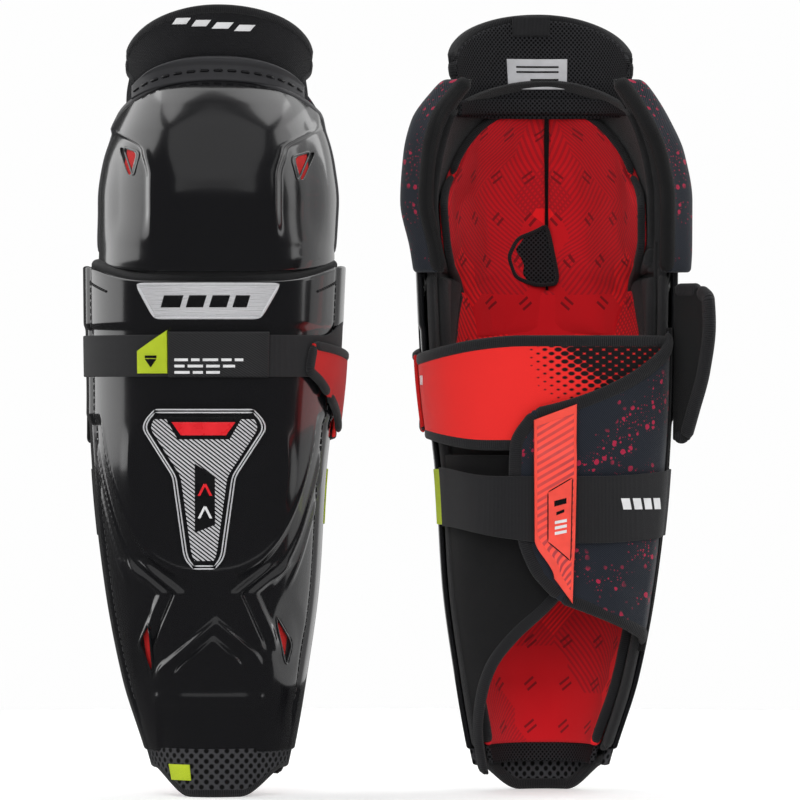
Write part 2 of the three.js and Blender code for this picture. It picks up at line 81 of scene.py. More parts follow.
# %% Driving sizes, as in the frame
SHIN_LENGTH, SHIN_WIDTH, SHIN_DEPTH, CALF_DEPTH = 333, 162, 84, 52
KNEE_HEIGHT, KNEE_WIDTH, KNEE_DEPTH = 122, 152, 94
SHIN_TOP = SHIN_LENGTH - 10
KNEE_BASE = SHIN_TOP + 5
KNEE_TOP = KNEE_BASE + KNEE_HEIGHT
RIM_TOP = KNEE_TOP + 13.5
FLAP_TOP = RIM_TOP + 32.5
SHELL_BOTTOM = 28
WRAP_TOP, WRAP_BOTTOM = 288, 218
STRAP_TOP, STRAP_BOTTOM = 289, 263
LOWER_TOP, LOWER_BOTTOM = 205, 161
SHELL_EDGE = 97  # angle of the shell's side edge, degrees from the front

# %% [markdown]
# ## Smooth curves and the leg outline
# A `curve` goes through a few given rows without swinging past them: its slope at each
# row is the harmonic mean of the slopes on both sides. The outline is two half ellipses at
# each height, so four such curves (outer half width, inner half width, front and back depth)
# describe the whole leg.


# %% Curves and outlines
def curve(*rows):
    """Cubic Hermite through (place, value) rows; each tangent is 2ab/(a+b) of its slopes."""
    xs, ys = np.array(rows, float).T
    slope = np.diff(ys) / np.diff(xs)
    before, after = np.r_[slope[0], slope], np.r_[slope, slope[-1]]
    same = before * after > 0
    tangent = np.where(same, 2 * before * after / np.where(same, before + after, 1), 0)

    def value(x):
        x = np.clip(x, xs[0], xs[-1])
        i = np.clip(np.searchsorted(xs, x), 1, len(xs) - 1)
        span = xs[i] - xs[i - 1]
        t = (x - xs[i - 1]) / span
        rise = ys[i - 1] * (2 * t**3 - 3 * t**2 + 1) + ys[i] * (3 * t**2 - 2 * t**3)
        lean = tangent[i - 1] * (t**3 - 2 * t**2 + t) + tangent[i] * (t**3 - t**2)
        return rise + span * lean

    return value


def mix(a, b, t):
    return a + (b - a) * t


def smooth(x, low, high):
    """0 below low, 1 above high, and 3t^2 - 2t^3 between them."""
    t = np.clip((np.asarray(x, float) - low) / (high - low), 0, 1)
    return t * t * (3 - 2 * t)


def bump(x, centre, width):
    """A bell exp(-((x - centre) / width)^2)."""
    return np.exp(-(((x - centre) / width) ** 2))


def outline(base, height, half_width, depth, rows):
    columns = [curve(*[(r[0], r[n]) for r in rows]) for n in (1, 2, 3, 4)]
    scale = (half_width, half_width, depth, CALF_DEPTH)
    return lambda z: [c((z - base) / height) * s for c, s in zip(columns, scale)]


SHIN = outline(0, SHIN_LENGTH, SHIN_WIDTH / 2, SHIN_DEPTH, [
    (0, 0.44, 0.54, 0.64, 0.5),
    (0.08, 0.53, 0.62, 0.68, 0.56),
    (0.22, 0.71, 0.72, 0.75, 0.68),
    (0.4, 0.85, 0.82, 0.84, 0.82),
    (0.6, 0.94, 0.87, 0.92, 0.94),
    (0.8, 0.98, 0.96, 0.96, 1),
    (1, 0.99, 1, 1, 1),
])
KNEE = outline(KNEE_BASE, KNEE_HEIGHT, KNEE_WIDTH / 2, KNEE_DEPTH, [
    (0, 0.93, 0.98, 0.9, 0.96),
    (0.2, 0.96, 1.02, 0.96, 0.98),
    (0.38, 0.96, 1.04, 1, 1),
    (0.55, 0.93, 1.01, 0.97, 0.98),
    (0.72, 0.86, 0.95, 0.88, 0.94),
    (0.86, 0.76, 0.86, 0.76, 0.88),
    (1, 0.62, 0.7, 0.61, 0.8),
])
THIGH = outline(KNEE_TOP, FLAP_TOP - KNEE_TOP, KNEE_WIDTH / 2, KNEE_DEPTH, [
    (0, 0.8, 0.86, 0.62, 0.8),
    (1, 0.84, 0.94, 0.68, 0.8),
])


def leg_point(leg, angle, z, offset):
    """Half-ellipse point (w sin a, -d cos a, z), moved along the ellipse's own normal.
    The angle is 0 at the front, 90 at the inner side, 180 at the back."""
    outer, inner, front, back = leg(z)
    s, c = np.sin(np.radians(angle)), np.cos(np.radians(angle))
    width, depth = np.where(s > 0, inner, outer), np.where(c > 0, front, back)
    nx, ny = s * depth, -c * width
    length = np.hypot(nx, ny)
    x = width * s + nx / length * offset
    y = -depth * c + ny / length * offset
    return np.stack(np.broadcast_arrays(x, y, z * 1.0), -1)


def back_angle(share):
    """The angle at the back where the outline is at this share of its half width."""
    return 180 - np.degrees(np.arcsin(np.clip(share, -1, 1)))


print("widest shin outline:", round(float(SHIN(np.array(266.0))[1]), 1), "mm")

# %% [markdown]
# ## Panels: a sheet between four edges
# Straps, flaps, liners and shells are all the same idea: two edges given as angles that change
# with height, two edges given as heights that change across, and a thickness between an inner
# and an outer distance. `panel` returns a function of (u, v, depth), so the same formula later
# gives the paths for bindings and stitches. Rounded borders come from closing the thickness
# like a half circle over the last millimetres.


# %% Panels
def steady(value):
    return value if callable(value) else lambda _: value


def panel(leg, start, end, bottom, top, layer, relief=None):
    """at(u, v, depth): angle = mix(start(v), end(v), u), height = mix(bottom(u), top(u), v),
    distance = mix(inner, outer, depth), with relief(angle, z, point) added to the outside."""
    start, end, bottom, top = map(steady, (start, end, bottom, top))

    def at(u, v, depth):
        u, v, depth = np.broadcast_arrays(*(np.asarray(a, float) for a in (u, v, depth)))
        angle = mix(start(v), end(v), u)
        z = mix(bottom(u), top(u), v)
        low, high = layer(u, v, angle, z) if callable(layer) else layer
        point = leg_point(leg, angle, z, mix(low, high, depth))
        if relief:
            lift = relief(angle, z, point) * mix(0.6, 1, depth)
            point = leg_point(leg, angle, z, mix(low, high, depth) + lift)
        return point

    return at


def spacing(count, border):
    """Samples from 0 to 1 that crowd at both ends, to round an edge of the given share."""
    near = border * (1 - np.cos(np.linspace(0, math.pi / 2, 5)))
    return np.r_[near[:-1], np.linspace(border, 1 - border, count + 1), 1 - near[::-1][1:]]


def sheet_arrays(at, columns, rows, edge=1.2, crown=0.0):
    """The closed sheet as (points, quads, uv in mm). Near the border the two sides close like
    a half circle of radius edge; crown fattens the middle like a cushion."""
    mid = at(np.linspace(0, 1, 25), 0.5, 0.5)
    wide = np.linalg.norm(np.diff(mid, axis=0), axis=1).sum()
    tall = np.linalg.norm(np.diff(at(0.5, np.linspace(0, 1, 25), 0.5), axis=0), axis=1).sum()
    us = spacing(columns, min(edge / wide, 0.3))
    vs = spacing(rows, min(edge / tall, 0.3))
    u, v = np.meshgrid(us, vs)
    to_side = np.minimum(u, 1 - u) * wide
    to_end = np.minimum(v, 1 - v) * tall
    near = np.clip(np.minimum(to_side, to_end) / edge, 0, 1)
    full = np.sqrt(np.clip(1 - (1 - near) ** 2, 0, 1)) * 0.97 + 0.03
    if crown:
        full *= 1 + crown * (16 * u * (1 - u) * v * (1 - v)) ** 0.5
    sides = [at(u, v, 0.5 - 0.5 * full), at(u, v, 0.5 + 0.5 * full)]
    n, m = len(us), len(vs)
    index = np.arange(n * m).reshape(m, n)
    a, b, c, d = index[:-1, :-1], index[:-1, 1:], index[1:, 1:], index[1:, :-1]
    outside = np.stack([a, b, c, d], -1).reshape(-1, 4) + n * m
    inside = np.stack([a, d, c, b], -1).reshape(-1, 4)
    ring = np.r_[index[0, :-1], index[:-1, -1], index[-1, :0:-1], index[:0:-1, 0]]
    after = np.roll(ring, -1)
    wall = np.stack([ring, after, after + n * m, ring + n * m], -1)
    points = np.concatenate([s.reshape(-1, 3) for s in sides])
    across = np.linalg.norm(np.diff(sides[1], axis=1), axis=2)
    run = np.concatenate([np.zeros((m, 1)), np.cumsum(across, 1)], 1)
    run -= run[:, n // 2][:, None]
    uv = np.stack([run, sides[1][..., 2]], -1).reshape(-1, 2)
    return points, np.concatenate([outside, inside, wall]), np.concatenate([uv, uv])


def facing_out(points, quads):
    """Turns the quads round if the solid's signed volume, a sum of a.(b x c)/6, is negative."""
    p = points - points.mean(0)
    a, b, c, d = (p[quads[:, i]] for i in range(4))
    volume = (a * np.cross(b, c)).sum() + (a * np.cross(c, d)).sum()
    return quads if volume > 0 else quads[:, ::-1]


# %% [markdown]
# ## From arrays to a riding piece
# `build` puts one set of arrays into a mesh for each guard, turned and shifted by `to_world`,
# with its flat cloth coordinates as a UV map in millimetres. Then it rides on the guard's body
# and hides the plain solids it stands for.


# %% Mesh and piece helpers
def new_mesh(name, points, quads, uv):
    mesh = bpy.data.meshes.new(name)
    mesh.vertices.add(len(points))
    mesh.vertices.foreach_set("co", np.ascontiguousarray(points, np.float32).ravel())
    mesh.loops.add(quads.size)
    mesh.loops.foreach_set("vertex_index", quads.astype(np.int32).ravel())
    mesh.polygons.add(len(quads))
    mesh.polygons.foreach_set("loop_start", np.arange(0, quads.size, 4, dtype=np.int32))
    mesh.polygons.foreach_set("use_smooth", np.ones(len(quads), bool))
    layer = mesh.uv_layers.new(name="cloth")
    layer.data.foreach_set("uv", uv[quads.ravel()].astype(np.float32).ravel())
    mesh.update()
    mesh.validate()
    return mesh


def cut_size(mesh, uv):
    """The flat cut of a cloth: the UV map's extent in metres, and half the mesh's area."""
    width, length = (float(x) / 1000 for x in np.ptp(uv, axis=0))
    area = sum(face.area for face in mesh.polygons) / 2
    return (width, length), min(max(area, 0.31 * width * length), width * length)


def build(name, arrays, material, body, replaces=(), pose=None, guards=GUARDS,
          lies_on=()):
    """One object per guard from the same arrays; pose(points, guard) may move them first.
    For a piece with lies_on, the flat cut size is worked out but not used."""
    made = []
    points, quads, uv = arrays
    quads = facing_out(points, quads)
    for guard in guards:
        placed = to_world(pose(points, guard) if pose else points, guard)
        mesh = new_mesh(f"{guard}_{name}", placed, quads, uv)
        mesh.materials.append(material)
        piece = bpy.data.objects.new(f"{guard}_{name}", mesh)
        bpy.context.scene.collection.objects.link(piece)
        if isinstance(body, str):
            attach(piece, f"{guard}_{body}")
        nodes = [f"{guard}_{n}" for n in replaces]
        if nodes:
            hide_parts(*nodes)
        if lies_on:
            flat, area = cut_size(mesh, uv)
        made.append(piece)
    return made


def join_arrays(parts):
    """Several (points, quads, uv) sets as one."""
    shift = np.cumsum([0] + [len(p) for p, _, _ in parts[:-1]])
    quads = [q + s for (p, q, _), s in zip(parts, shift)]
    quads = [facing_out(p, q - s) + s for (p, _, _), q, s in zip(parts, quads, shift)]
    return (
        np.concatenate([p for p, _, _ in parts]),
        np.concatenate(quads),
        np.concatenate([u for _, _, u in parts]),
    )


# %% [markdown]
# ## Blowing padding up
# A formula gives a pad its outline; cloth simulation gives it the uneven swelling of real
# stuffing. The closed sheet is filled with a little pressure for twenty frames with gravity
# off, and each point keeps at most `cap` of its movement, so the pad stays in its place.


# %% Padding by simulation
def puff(pieces, cap=0.004, pressure=4.0, frames=20):
    """Cloth with inner pressure; a move m is shortened to cap * tanh(|m| / cap)."""
    scene = bpy.context.scene
    for piece in pieces:
        count = len(piece.data.vertices)
        before = np.empty(count * 3, np.float32)
        piece.data.vertices.foreach_get("co", before)
        cloth = piece.modifiers.new("puff", "CLOTH")
        cloth.settings.quality = 4
        cloth.settings.use_pressure = True
        cloth.settings.uniform_pressure_force = pressure
        cloth.settings.effector_weights.gravity = 0
        cloth.point_cache.frame_start, cloth.point_cache.frame_end = 1, frames
        for step in range(1, frames + 1):
            scene.frame_set(step)
        shape = piece.evaluated_get(bpy.context.evaluated_depsgraph_get()).to_mesh()
        after = np.empty(count * 3, np.float32)
        shape.vertices.foreach_get("co", after)
        piece.modifiers.remove(cloth)
        scene.frame_set(1)
        move = (after - before).reshape(-1, 3)
        length = np.linalg.norm(move, axis=1)[:, None] + 1e-9
        move *= cap * np.tanh(length / cap) / length
        piece.data.vertices.foreach_set("co", before + move.ravel())
        piece.data.update()
        print(piece.name, "swelled by", round(float(np.linalg.norm(move, axis=1).max()) * 1000, 1), "mm")


# %% [markdown]
# ## Bindings and stitches
# A binding is a tape folded over a raw edge: a small rounded section carried along the edge's
# path. Its frame at each step is the path's direction, the panel's normal and their cross
# product. A stitch is a short capsule; one capsule is copied along the path as arrays.


# %% Sweeps and stitches
def path_frame(path, normal):
    """Unit tangent, normal and side at each point of a path."""
    tangent = np.gradient(path, axis=0)
    tangent /= np.linalg.norm(tangent, axis=1)[:, None]
    normal = normal - (normal * tangent).sum(1)[:, None] * tangent
    normal /= np.linalg.norm(normal, axis=1)[:, None]
    return tangent, normal, np.cross(tangent, normal)


def sweep(path, normal, width, thickness, power=2.6, sides=14, fade=True):
    """A closed superellipse section |x/w|^p + |y/t|^p = 1 carried along the path, shrunk to
    a rounded tip over the first and last step."""
    _, normal, side = path_frame(path, normal)
    turn = np.linspace(0, 2 * math.pi, sides, endpoint=False)
    c, s = np.cos(turn), np.sin(turn)
    x = np.sign(c) * np.abs(c) ** (2 / power) * width / 2
    y = np.sign(s) * np.abs(s) ** (2 / power) * thickness / 2
    tip = np.ones(len(path))
    if fade:
        tip[[0, -1]] = 0.02
        tip[[1, -2]] = 0.8
    ring = side[:, None] * x[None, :, None] + normal[:, None] * y[None, :, None]
    points = path[:, None] + ring * tip[:, None, None]
    n, m = len(path), sides
    index = np.arange(n * m).reshape(n, m)
    nxt = np.roll(index, -1, 1)
    quads = np.stack([index[:-1], nxt[:-1], nxt[1:], index[1:]], -1).reshape(-1, 4)
    half = m // 2
    caps = []
    for row, flip in ((index[0], 1), (index[-1], -1)):
        for i in range(half - 1):
            caps.append([row[i], row[i + 1], row[m - 2 - i], row[m - 1 - i]][::flip])
    run = np.r_[0, np.cumsum(np.linalg.norm(np.diff(path, axis=0), axis=1))]
    around = np.arange(m) / m * 2 * (width + thickness)
    uv = np.stack(np.broadcast_arrays(run[:, None], around[None]), -1).reshape(-1, 2)
    return points.reshape(-1, 3), np.concatenate([quads, np.array(caps)]), uv


def even_path(path, step):
    """The path and any columns beside it, resampled at even steps along its first three."""
    run = np.r_[0, np.cumsum(np.linalg.norm(np.diff(path[:, :3], axis=0), axis=1))]
    places = np.linspace(0, run[-1], max(int(round(run[-1] / step)) + 1, 4))
    return np.stack([np.interp(places, run, column) for column in path.T], -1)


def edge_of(at, u, v, steps=80, depth=0.5, step=2.5):
    """Path and normals along a panel's edge; u and v are (first, last) pairs."""
    t = np.linspace(0, 1, steps)
    u, v = mix(u[0], u[1], t), mix(v[0], v[1], t)
    path = at(u, v, depth)
    normal = at(u, v, 1) - at(u, v, 0)
    both = even_path(np.concatenate([path, normal], 1), step)
    return both[:, :3], both[:, 3:]


def binding(at, u, v, width=6.0, thickness=4.0, inset=1.0):
    """A tape over a panel's edge, set in from the edge by part of its width."""
    path, normal = edge_of(at, u, v)
    tangent, normal, side = path_frame(path, normal)
    middle = at(0.5, 0.5, 0.5)
    inward = np.sign(((middle - path) * side).sum(1).mean())
    return sweep(path + side * inward * (width / 2 - inset), normal, width, thickness)


def stitches(path, normal, pitch, length, radius=0.45, lift=0.2):
    """Capsules along a path: a hexagon section, thin at both ends, copied at each pitch."""
    both = even_path(np.concatenate([path, normal], 1), pitch)
    tangent, normal, side = path_frame(both[:, :3], both[:, 3:])
    along = np.array([-0.5, -0.38, 0.38, 0.5]) * length
    fat = np.array([0.25, 1, 1, 0.25]) * radius
    turn = np.arange(6) * math.pi / 3
    local = np.stack([
        np.repeat(along, 6),
        (fat[:, None] * np.cos(turn)).ravel(),
        (fat[:, None] * np.sin(turn)).ravel(),
    ], -1)
    axes = np.stack([tangent, side, normal], 1)
    points = both[:, None, :3] + np.einsum("kj,njd->nkd", local, axes) + normal[:, None] * lift
    ring = np.arange(24).reshape(4, 6)
    nxt = np.roll(ring, -1, 1)
    quads = np.stack([ring[:-1], nxt[:-1], nxt[1:], ring[1:]], -1).reshape(-1, 4)
    ends = [[0, 5, 4, 1], [1, 4, 3, 2], [18, 19, 22, 23], [19, 20, 21, 22]]
    quads = np.concatenate([quads, np.array(ends)])
    count = len(points)
    every = (quads[None] + 24 * np.arange(count)[:, None, None]).reshape(-1, 4)
    return points.reshape(-1, 3), every, np.zeros((count * 24, 2))


# %% [markdown]
# ## Finishes: shared effects as node groups
# Cloth is read from the UV map, which is in millimetres, so a pitch of 3 is a 3 mm pitch on
# both guards. Effects that several finishes share are node groups: a weave, round holes on a
# staggered grid, slanting stripes, and drops of splashed ink.


# %% Node helpers
def put(tree, kind, inputs=(), **settings):
    """Adds a node, sets its properties, and feeds its inputs from sockets or plain values."""
    made = tree.nodes.new(kind)
    for key, value in settings.items():
        setattr(made, key, value)
    pairs = inputs.items() if isinstance(inputs, dict) else enumerate(inputs)
    for key, value in pairs:
        if isinstance(value, bpy.types.NodeSocket):
            tree.links.new(value, made.inputs[key])
        else:
            made.inputs[key].default_value = value
    return made.outputs[0]


def maths(tree, operation, *values):
    return put(tree, "ShaderNodeMath", values, operation=operation)


def ramp(tree, value, low, high, start=0.0, end=1.0):
    """value from low..high to start..end, clamped."""
    return put(tree, "ShaderNodeMapRange", [value, low, high, start, end])


def blend_colour(tree, factor, a, b):
    made = tree.nodes.new("ShaderNodeMix")
    made.data_type = "RGBA"
    for socket, value in zip((0, 6, 7), (factor, a, b)):
        if isinstance(value, bpy.types.NodeSocket):
            tree.links.new(value, made.inputs[socket])
        else:
            made.inputs[socket].default_value = value
    return made.outputs[2]


def group(name, inputs, outputs, fill):
    """A node group: inputs and outputs are (name, kind, default); fill wires it up."""
    tree = bpy.data.node_groups.new(name, "ShaderNodeTree")
    for label, kind, default in inputs:
        socket = tree.interface.new_socket(label, in_out="INPUT", socket_type=f"NodeSocket{kind}")
        if default is not None:
            socket.default_value = default
    for label, kind in outputs:
        tree.interface.new_socket(label, in_out="OUTPUT", socket_type=f"NodeSocket{kind}")
    entry = tree.nodes.new("NodeGroupInput")
    leave = tree.nodes.new("NodeGroupOutput")
    results = fill(tree, {s.name: s for s in entry.outputs if s.name})
    for label, socket in results.items():
        tree.links.new(socket, leave.inputs[label])
    return tree


def use(tree, made_group, **inputs):
    """Places a group and returns its node's outputs by name."""
    made = tree.nodes.new("ShaderNodeGroup")
    made.node_tree = made_group
    for key, value in inputs.items():
        socket = made.inputs[key.replace("_", " ")]
        if isinstance(value, bpy.types.NodeSocket):
            tree.links.new(value, socket)
        else:
            socket.default_value = value
    return {s.name: s for s in made.outputs}


# %% Shared effects
def fill_weave(tree, given):
    """Threads over and under: |sin| ridges both ways, swapped on a checkerboard."""
    scaled = put(tree, "ShaderNodeVectorMath", [given["Vector"], given["Density"]],
                 operation="MULTIPLY")
    parts = tree.nodes.new("ShaderNodeSeparateXYZ")
    tree.links.new(scaled, parts.inputs[0])
    ridge = [
        maths(tree, "ABSOLUTE", maths(tree, "SINE", maths(tree, "MULTIPLY", s, math.pi)))
        for s in parts.outputs[:2]
    ]
    checker = put(tree, "ShaderNodeTexChecker", {"Vector": scaled, "Scale": 1.0})
    over = tree.nodes[-1].outputs["Fac"]
    height = put(tree, "ShaderNodeMix", {0: over, 2: ridge[0], 3: ridge[1]}, data_type="FLOAT")
    return {"Height": height}


weave = group(
    "thread_weave",
    [("Vector", "Vector", None), ("Density", "Vector", (1.6, 1.6, 1.6))],
    [("Height", "Float")],
    fill_weave,
)


def fill_holes(tree, given):
    """Distance to the nearest point of two square grids, one shifted by half a cell."""
    cell = put(tree, "ShaderNodeVectorMath", [given["Vector"], given["Cells"]],
               operation="MULTIPLY")
    reach = []
    for shift in ((0, 0, 0), (0.5, 0.5, 0)):
        moved = put(tree, "ShaderNodeVectorMath", [cell, shift], operation="ADD")
        part = put(tree, "ShaderNodeVectorMath", [moved], operation="FRACTION")
        from_mid = put(tree, "ShaderNodeVectorMath", [part, (0.5, 0.5, 0)],
                       operation="SUBTRACT")
        flat = put(tree, "ShaderNodeVectorMath", [from_mid, (1, 1, 0)], operation="MULTIPLY")
        put(tree, "ShaderNodeVectorMath", [flat], operation="LENGTH")
        reach.append(tree.nodes[-1].outputs["Value"])
    near = maths(tree, "MINIMUM", *reach)
    low = maths(tree, "SUBTRACT", given["Radius"], 0.06)
    high = maths(tree, "ADD", given["Radius"], 0.06)
    return {"Hole": put(tree, "ShaderNodeMapRange", [near, low, high, 1.0, 0.0])}


holes = group(
    "staggered_holes",
    [("Vector", "Vector", None), ("Cells", "Vector", (0.3, 0.3, 0)), ("Radius", "Float", 0.25)],
    [("Hole", "Float")],
    fill_holes,
)


def fill_stripes(tree, given):
    """Fraction of (u cos a + v sin a) / pitch, turned into a 0 or 1 band with soft sides."""
    parts = tree.nodes.new("ShaderNodeSeparateXYZ")
    tree.links.new(given["Vector"], parts.inputs[0])
    across = maths(tree, "MULTIPLY", parts.outputs[0],
                   maths(tree, "COSINE", given["Angle"]))
    up = maths(tree, "MULTIPLY", parts.outputs[1], maths(tree, "SINE", given["Angle"]))
    place = maths(tree, "DIVIDE", maths(tree, "ADD", across, up), given["Pitch"])
    wave = maths(tree, "ABSOLUTE", maths(tree, "SUBTRACT",
                 maths(tree, "FRACT", place), 0.5))
    half = maths(tree, "MULTIPLY", given["Share"], 0.5)
    low = maths(tree, "SUBTRACT", half, 0.05)
    high = maths(tree, "ADD", half, 0.05)
    return {"Stripe": put(tree, "ShaderNodeMapRange", [wave, low, high, 1.0, 0.0])}


stripes = group(
    "slanting_stripes",
    [("Vector", "Vector", None), ("Angle", "Float", 0.8), ("Pitch", "Float", 3.0),
     ("Share", "Float", 0.5)],
    [("Stripe", "Float")],
    fill_stripes,
)


def fill_splash(tree, given):
    """Round cells of a cellular pattern, each shrunk by its own random number."""
    cell = put(tree, "ShaderNodeVectorMath", [given["Vector"], given["Cells"]],
               operation="MULTIPLY")
    noise = put(tree, "ShaderNodeTexNoise", {"Vector": cell, "Scale": 1.7, "Detail": 2.0})
    colour = tree.nodes[-1].outputs["Color"]
    stir = put(tree, "ShaderNodeVectorMath", [colour, (0.35, 0.35, 0)], operation="MULTIPLY")
    bent = put(tree, "ShaderNodeVectorMath", [cell, stir], operation="ADD")
    near = put(tree, "ShaderNodeTexVoronoi", {"Vector": bent, "Scale": 1.0},
               voronoi_dimensions="2D")
    tint = tree.nodes[-1].outputs["Color"]
    parts = tree.nodes.new("ShaderNodeSeparateColor")
    tree.links.new(tint, parts.inputs[0])
    size = maths(tree, "MULTIPLY", maths(tree, "POWER", parts.outputs[0], 2.0),
                 given["Size"])
    edge = maths(tree, "SUBTRACT", size, near)
    return {"Drop": put(tree, "ShaderNodeMapRange", [edge, 0.0, 0.04, 0.0, 1.0])}


splash = group(
    "ink_drops",
    [("Vector", "Vector", None), ("Cells", "Vector", (0.1, 0.1, 0)), ("Size", "Float", 0.3)],
    [("Drop", "Float")],
    fill_splash,
)


def fill_wear(tree, given):
    """Slow cloudy variation around 1, for colour and roughness that is never quite even."""
    cloud = put(tree, "ShaderNodeTexNoise",
                {"Vector": given["Vector"], "Scale": given["Scale"], "Detail": 4.0})
    return {"Value": ramp(tree, cloud, 0.3, 0.7, 0.0, 1.0)}


wear = group(
    "cloudy_wear",
    [("Vector", "Vector", None), ("Scale", "Float", 30.0)],
    [("Value", "Float")],
    fill_wear,
)
print("node groups:", len(bpy.data.node_groups))


# %% [markdown]
# ## The finishes themselves
# Each finish starts from `start_finish`, which makes the material with its shader and hands
# back the two coordinates in use: cloth millimetres from the UV map, and object metres.


# %% Finish helper
def start_finish(name, colour, roughness, metallic=0.0):
    material = bpy.data.materials.new(name)
    material.use_nodes = True
    material.diffuse_color = (*colour[:3], 1)
    tree = material.node_tree
    shader = tree.nodes["Principled BSDF"]
    shader.inputs["Base Color"].default_value = (*colour[:3], 1)
    shader.inputs["Roughness"].default_value = roughness
    shader.inputs["Metallic"].default_value = metallic
    shader.inputs["Specular IOR Level"].default_value = 0.5 if roughness < 0.6 else 0.2
    cloth = put(tree, "ShaderNodeUVMap", uv_map="cloth")
    put(tree, "ShaderNodeTexCoord")
    place = tree.nodes[-1].outputs["Object"]
    return material, tree, shader, cloth, place


def raise_surface(tree, shader, height, distance, strength=1.0):
    """Feeds a Bump node: height 0..1 stands for the given distance in metres."""
    normal = put(tree, "ShaderNodeBump",
                 {"Strength": strength, "Distance": distance, "Height": height})
    tree.links.new(normal, shader.inputs["Normal"])


def link(tree, socket, shader, name):
    tree.links.new(socket, shader.inputs[name])


# %% Hard finishes
def gloss_shell():
    """Injection-moulded black plastic: a clear gloss with faint flow marks and dust."""
    material, tree, shader, cloth, place = start_finish("gloss_shell", (0.006, 0.006, 0.007), 0.1)
    shader.inputs["Coat Weight"].default_value = 0.6
    shader.inputs["Coat Roughness"].default_value = 0.09
    shader.inputs["Specular IOR Level"].default_value = 0.55
    cloud = use(tree, wear, Vector=place, Scale=18.0)["Value"]
    link(tree, ramp(tree, cloud, 0, 1, 0.14, 0.22), shader, "Roughness")
    peel = put(tree, "ShaderNodeTexNoise", {"Vector": place, "Scale": 160.0, "Detail": 2.0})
    raise_surface(tree, shader, peel, 0.00008, 0.25)
    return material


def satin_rim():
    material, tree, shader, cloth, place = start_finish("satin_rim", (0.035, 0.035, 0.038), 0.4)
    cloud = use(tree, wear, Vector=place, Scale=60.0)["Value"]
    link(tree, ramp(tree, cloud, 0, 1, 0.32, 0.5), shader, "Roughness")
    grain = put(tree, "ShaderNodeTexNoise", {"Vector": place, "Scale": 900.0})
    raise_surface(tree, shader, grain, 0.0001, 0.3)
    return material


def brushed_silver():
    """Silver foil with hair-fine lines across it."""
    material, tree, shader, cloth, place = start_finish("brushed_silver", (0.74, 0.74, 0.76), 0.3, 0.45)
    long = put(tree, "ShaderNodeVectorMath", [cloth, (0.05, 6.0, 1.0)], operation="MULTIPLY")
    hair = put(tree, "ShaderNodeTexNoise", {"Vector": long, "Scale": 1.0, "Detail": 3.0})
    link(tree, ramp(tree, hair, 0.3, 0.7, 0.2, 0.42), shader, "Roughness")
    raise_surface(tree, shader, hair, 0.00005, 0.4)
    return material


def badge_face():
    """Black enamel with slanting silver lines."""
    material, tree, shader, cloth, place = start_finish("badge_face", (0.01, 0.01, 0.01), 0.25)
    line = use(tree, stripes, Vector=cloth, Angle=math.radians(52), Pitch=2.0, Share=0.55)
    tone = blend_colour(tree, line["Stripe"], (0.008, 0.008, 0.009, 1), (0.66, 0.66, 0.68, 1))
    link(tree, tone, shader, "Base Color")
    link(tree, maths(tree, "MULTIPLY", line["Stripe"], 0.3), shader, "Metallic")
    raise_surface(tree, shader, line["Stripe"], 0.0002, 0.6)
    return material


def plain_enamel(name, colour, roughness=0.3):
    material, tree, shader, cloth, place = start_finish(name, colour, roughness)
    cloud = use(tree, wear, Vector=place, Scale=90.0)["Value"]
    dark = tuple(c * 0.8 for c in colour) + (1,)
    link(tree, blend_colour(tree, cloud, dark, (*colour, 1)), shader, "Base Color")
    link(tree, ramp(tree, cloud, 0, 1, roughness * 0.8, roughness * 1.25), shader, "Roughness")
    return material


def rubber_patch():
    """Black rubber with a field of fine slanting ribs, the rib tops painted lighter as a painted
    highlight.
    """
    material, tree, shader, cloth, place = start_finish("patch_rubber", (0.014, 0.014, 0.016), 0.5)
    rib = use(tree, stripes, Vector=cloth, Angle=math.radians(60), Pitch=1.3, Share=0.5)
    # tone is lighter on the raised ribs: a painted highlight
    tone = blend_colour(tree, rib["Stripe"], (0.008, 0.008, 0.009, 1), (0.03, 0.03, 0.032, 1))
    link(tree, tone, shader, "Base Color")
    raise_surface(tree, shader, rib["Stripe"], 0.0003, 0.8)
    return material


def keeper_rubber():
    """Coral rubber with dark slanting stripes whose strength changes in slow clouds."""
    material, tree, shader, cloth, place = start_finish("keeper_rubber", (0.92, 0.07, 0.045), 0.42)
    line = use(tree, stripes, Vector=cloth, Angle=math.radians(120), Pitch=4.0, Share=0.45)
    cloud = use(tree, wear, Vector=place, Scale=40.0)["Value"]
    amount = maths(tree, "MULTIPLY", line["Stripe"], ramp(tree, cloud, 0.1, 0.6, 0.55, 0.9))
    tone = blend_colour(tree, amount, (0.92, 0.07, 0.045, 1), (0.36, 0.035, 0.045, 1))
    link(tree, tone, shader, "Base Color")
    raise_surface(tree, shader, line["Stripe"], 0.0002, 0.4)
    return material


# %% Cloth finishes
def woven(name, colour, density=1.4, sheen=0.15, roughness=0.85, light=1.8, depth=0.00025):
    """Plain woven or knitted cloth: thread ridges, painted lighter on each thread's crown and darker
    between threads as painted highlight and shade, sheen.
    """
    material, tree, shader, cloth, place = start_finish(name, colour, roughness)
    thread = use(tree, weave, Vector=cloth, Density=(density, density, density))["Height"]
    cloud = use(tree, wear, Vector=place, Scale=35.0)["Value"]
    # pale and dark are a painted highlight on the thread crowns and painted shade between the threads
    pale = tuple(min(c * light, 1) for c in colour) + (1,)
    dark = tuple(c * 0.55 for c in colour) + (1,)
    both = maths(tree, "MULTIPLY", thread, ramp(tree, cloud, 0, 1, 0.6, 1.0))
    link(tree, blend_colour(tree, both, dark, pale), shader, "Base Color")
    shader.inputs["Sheen Weight"].default_value = sheen
    raise_surface(tree, shader, thread, depth)
    return material


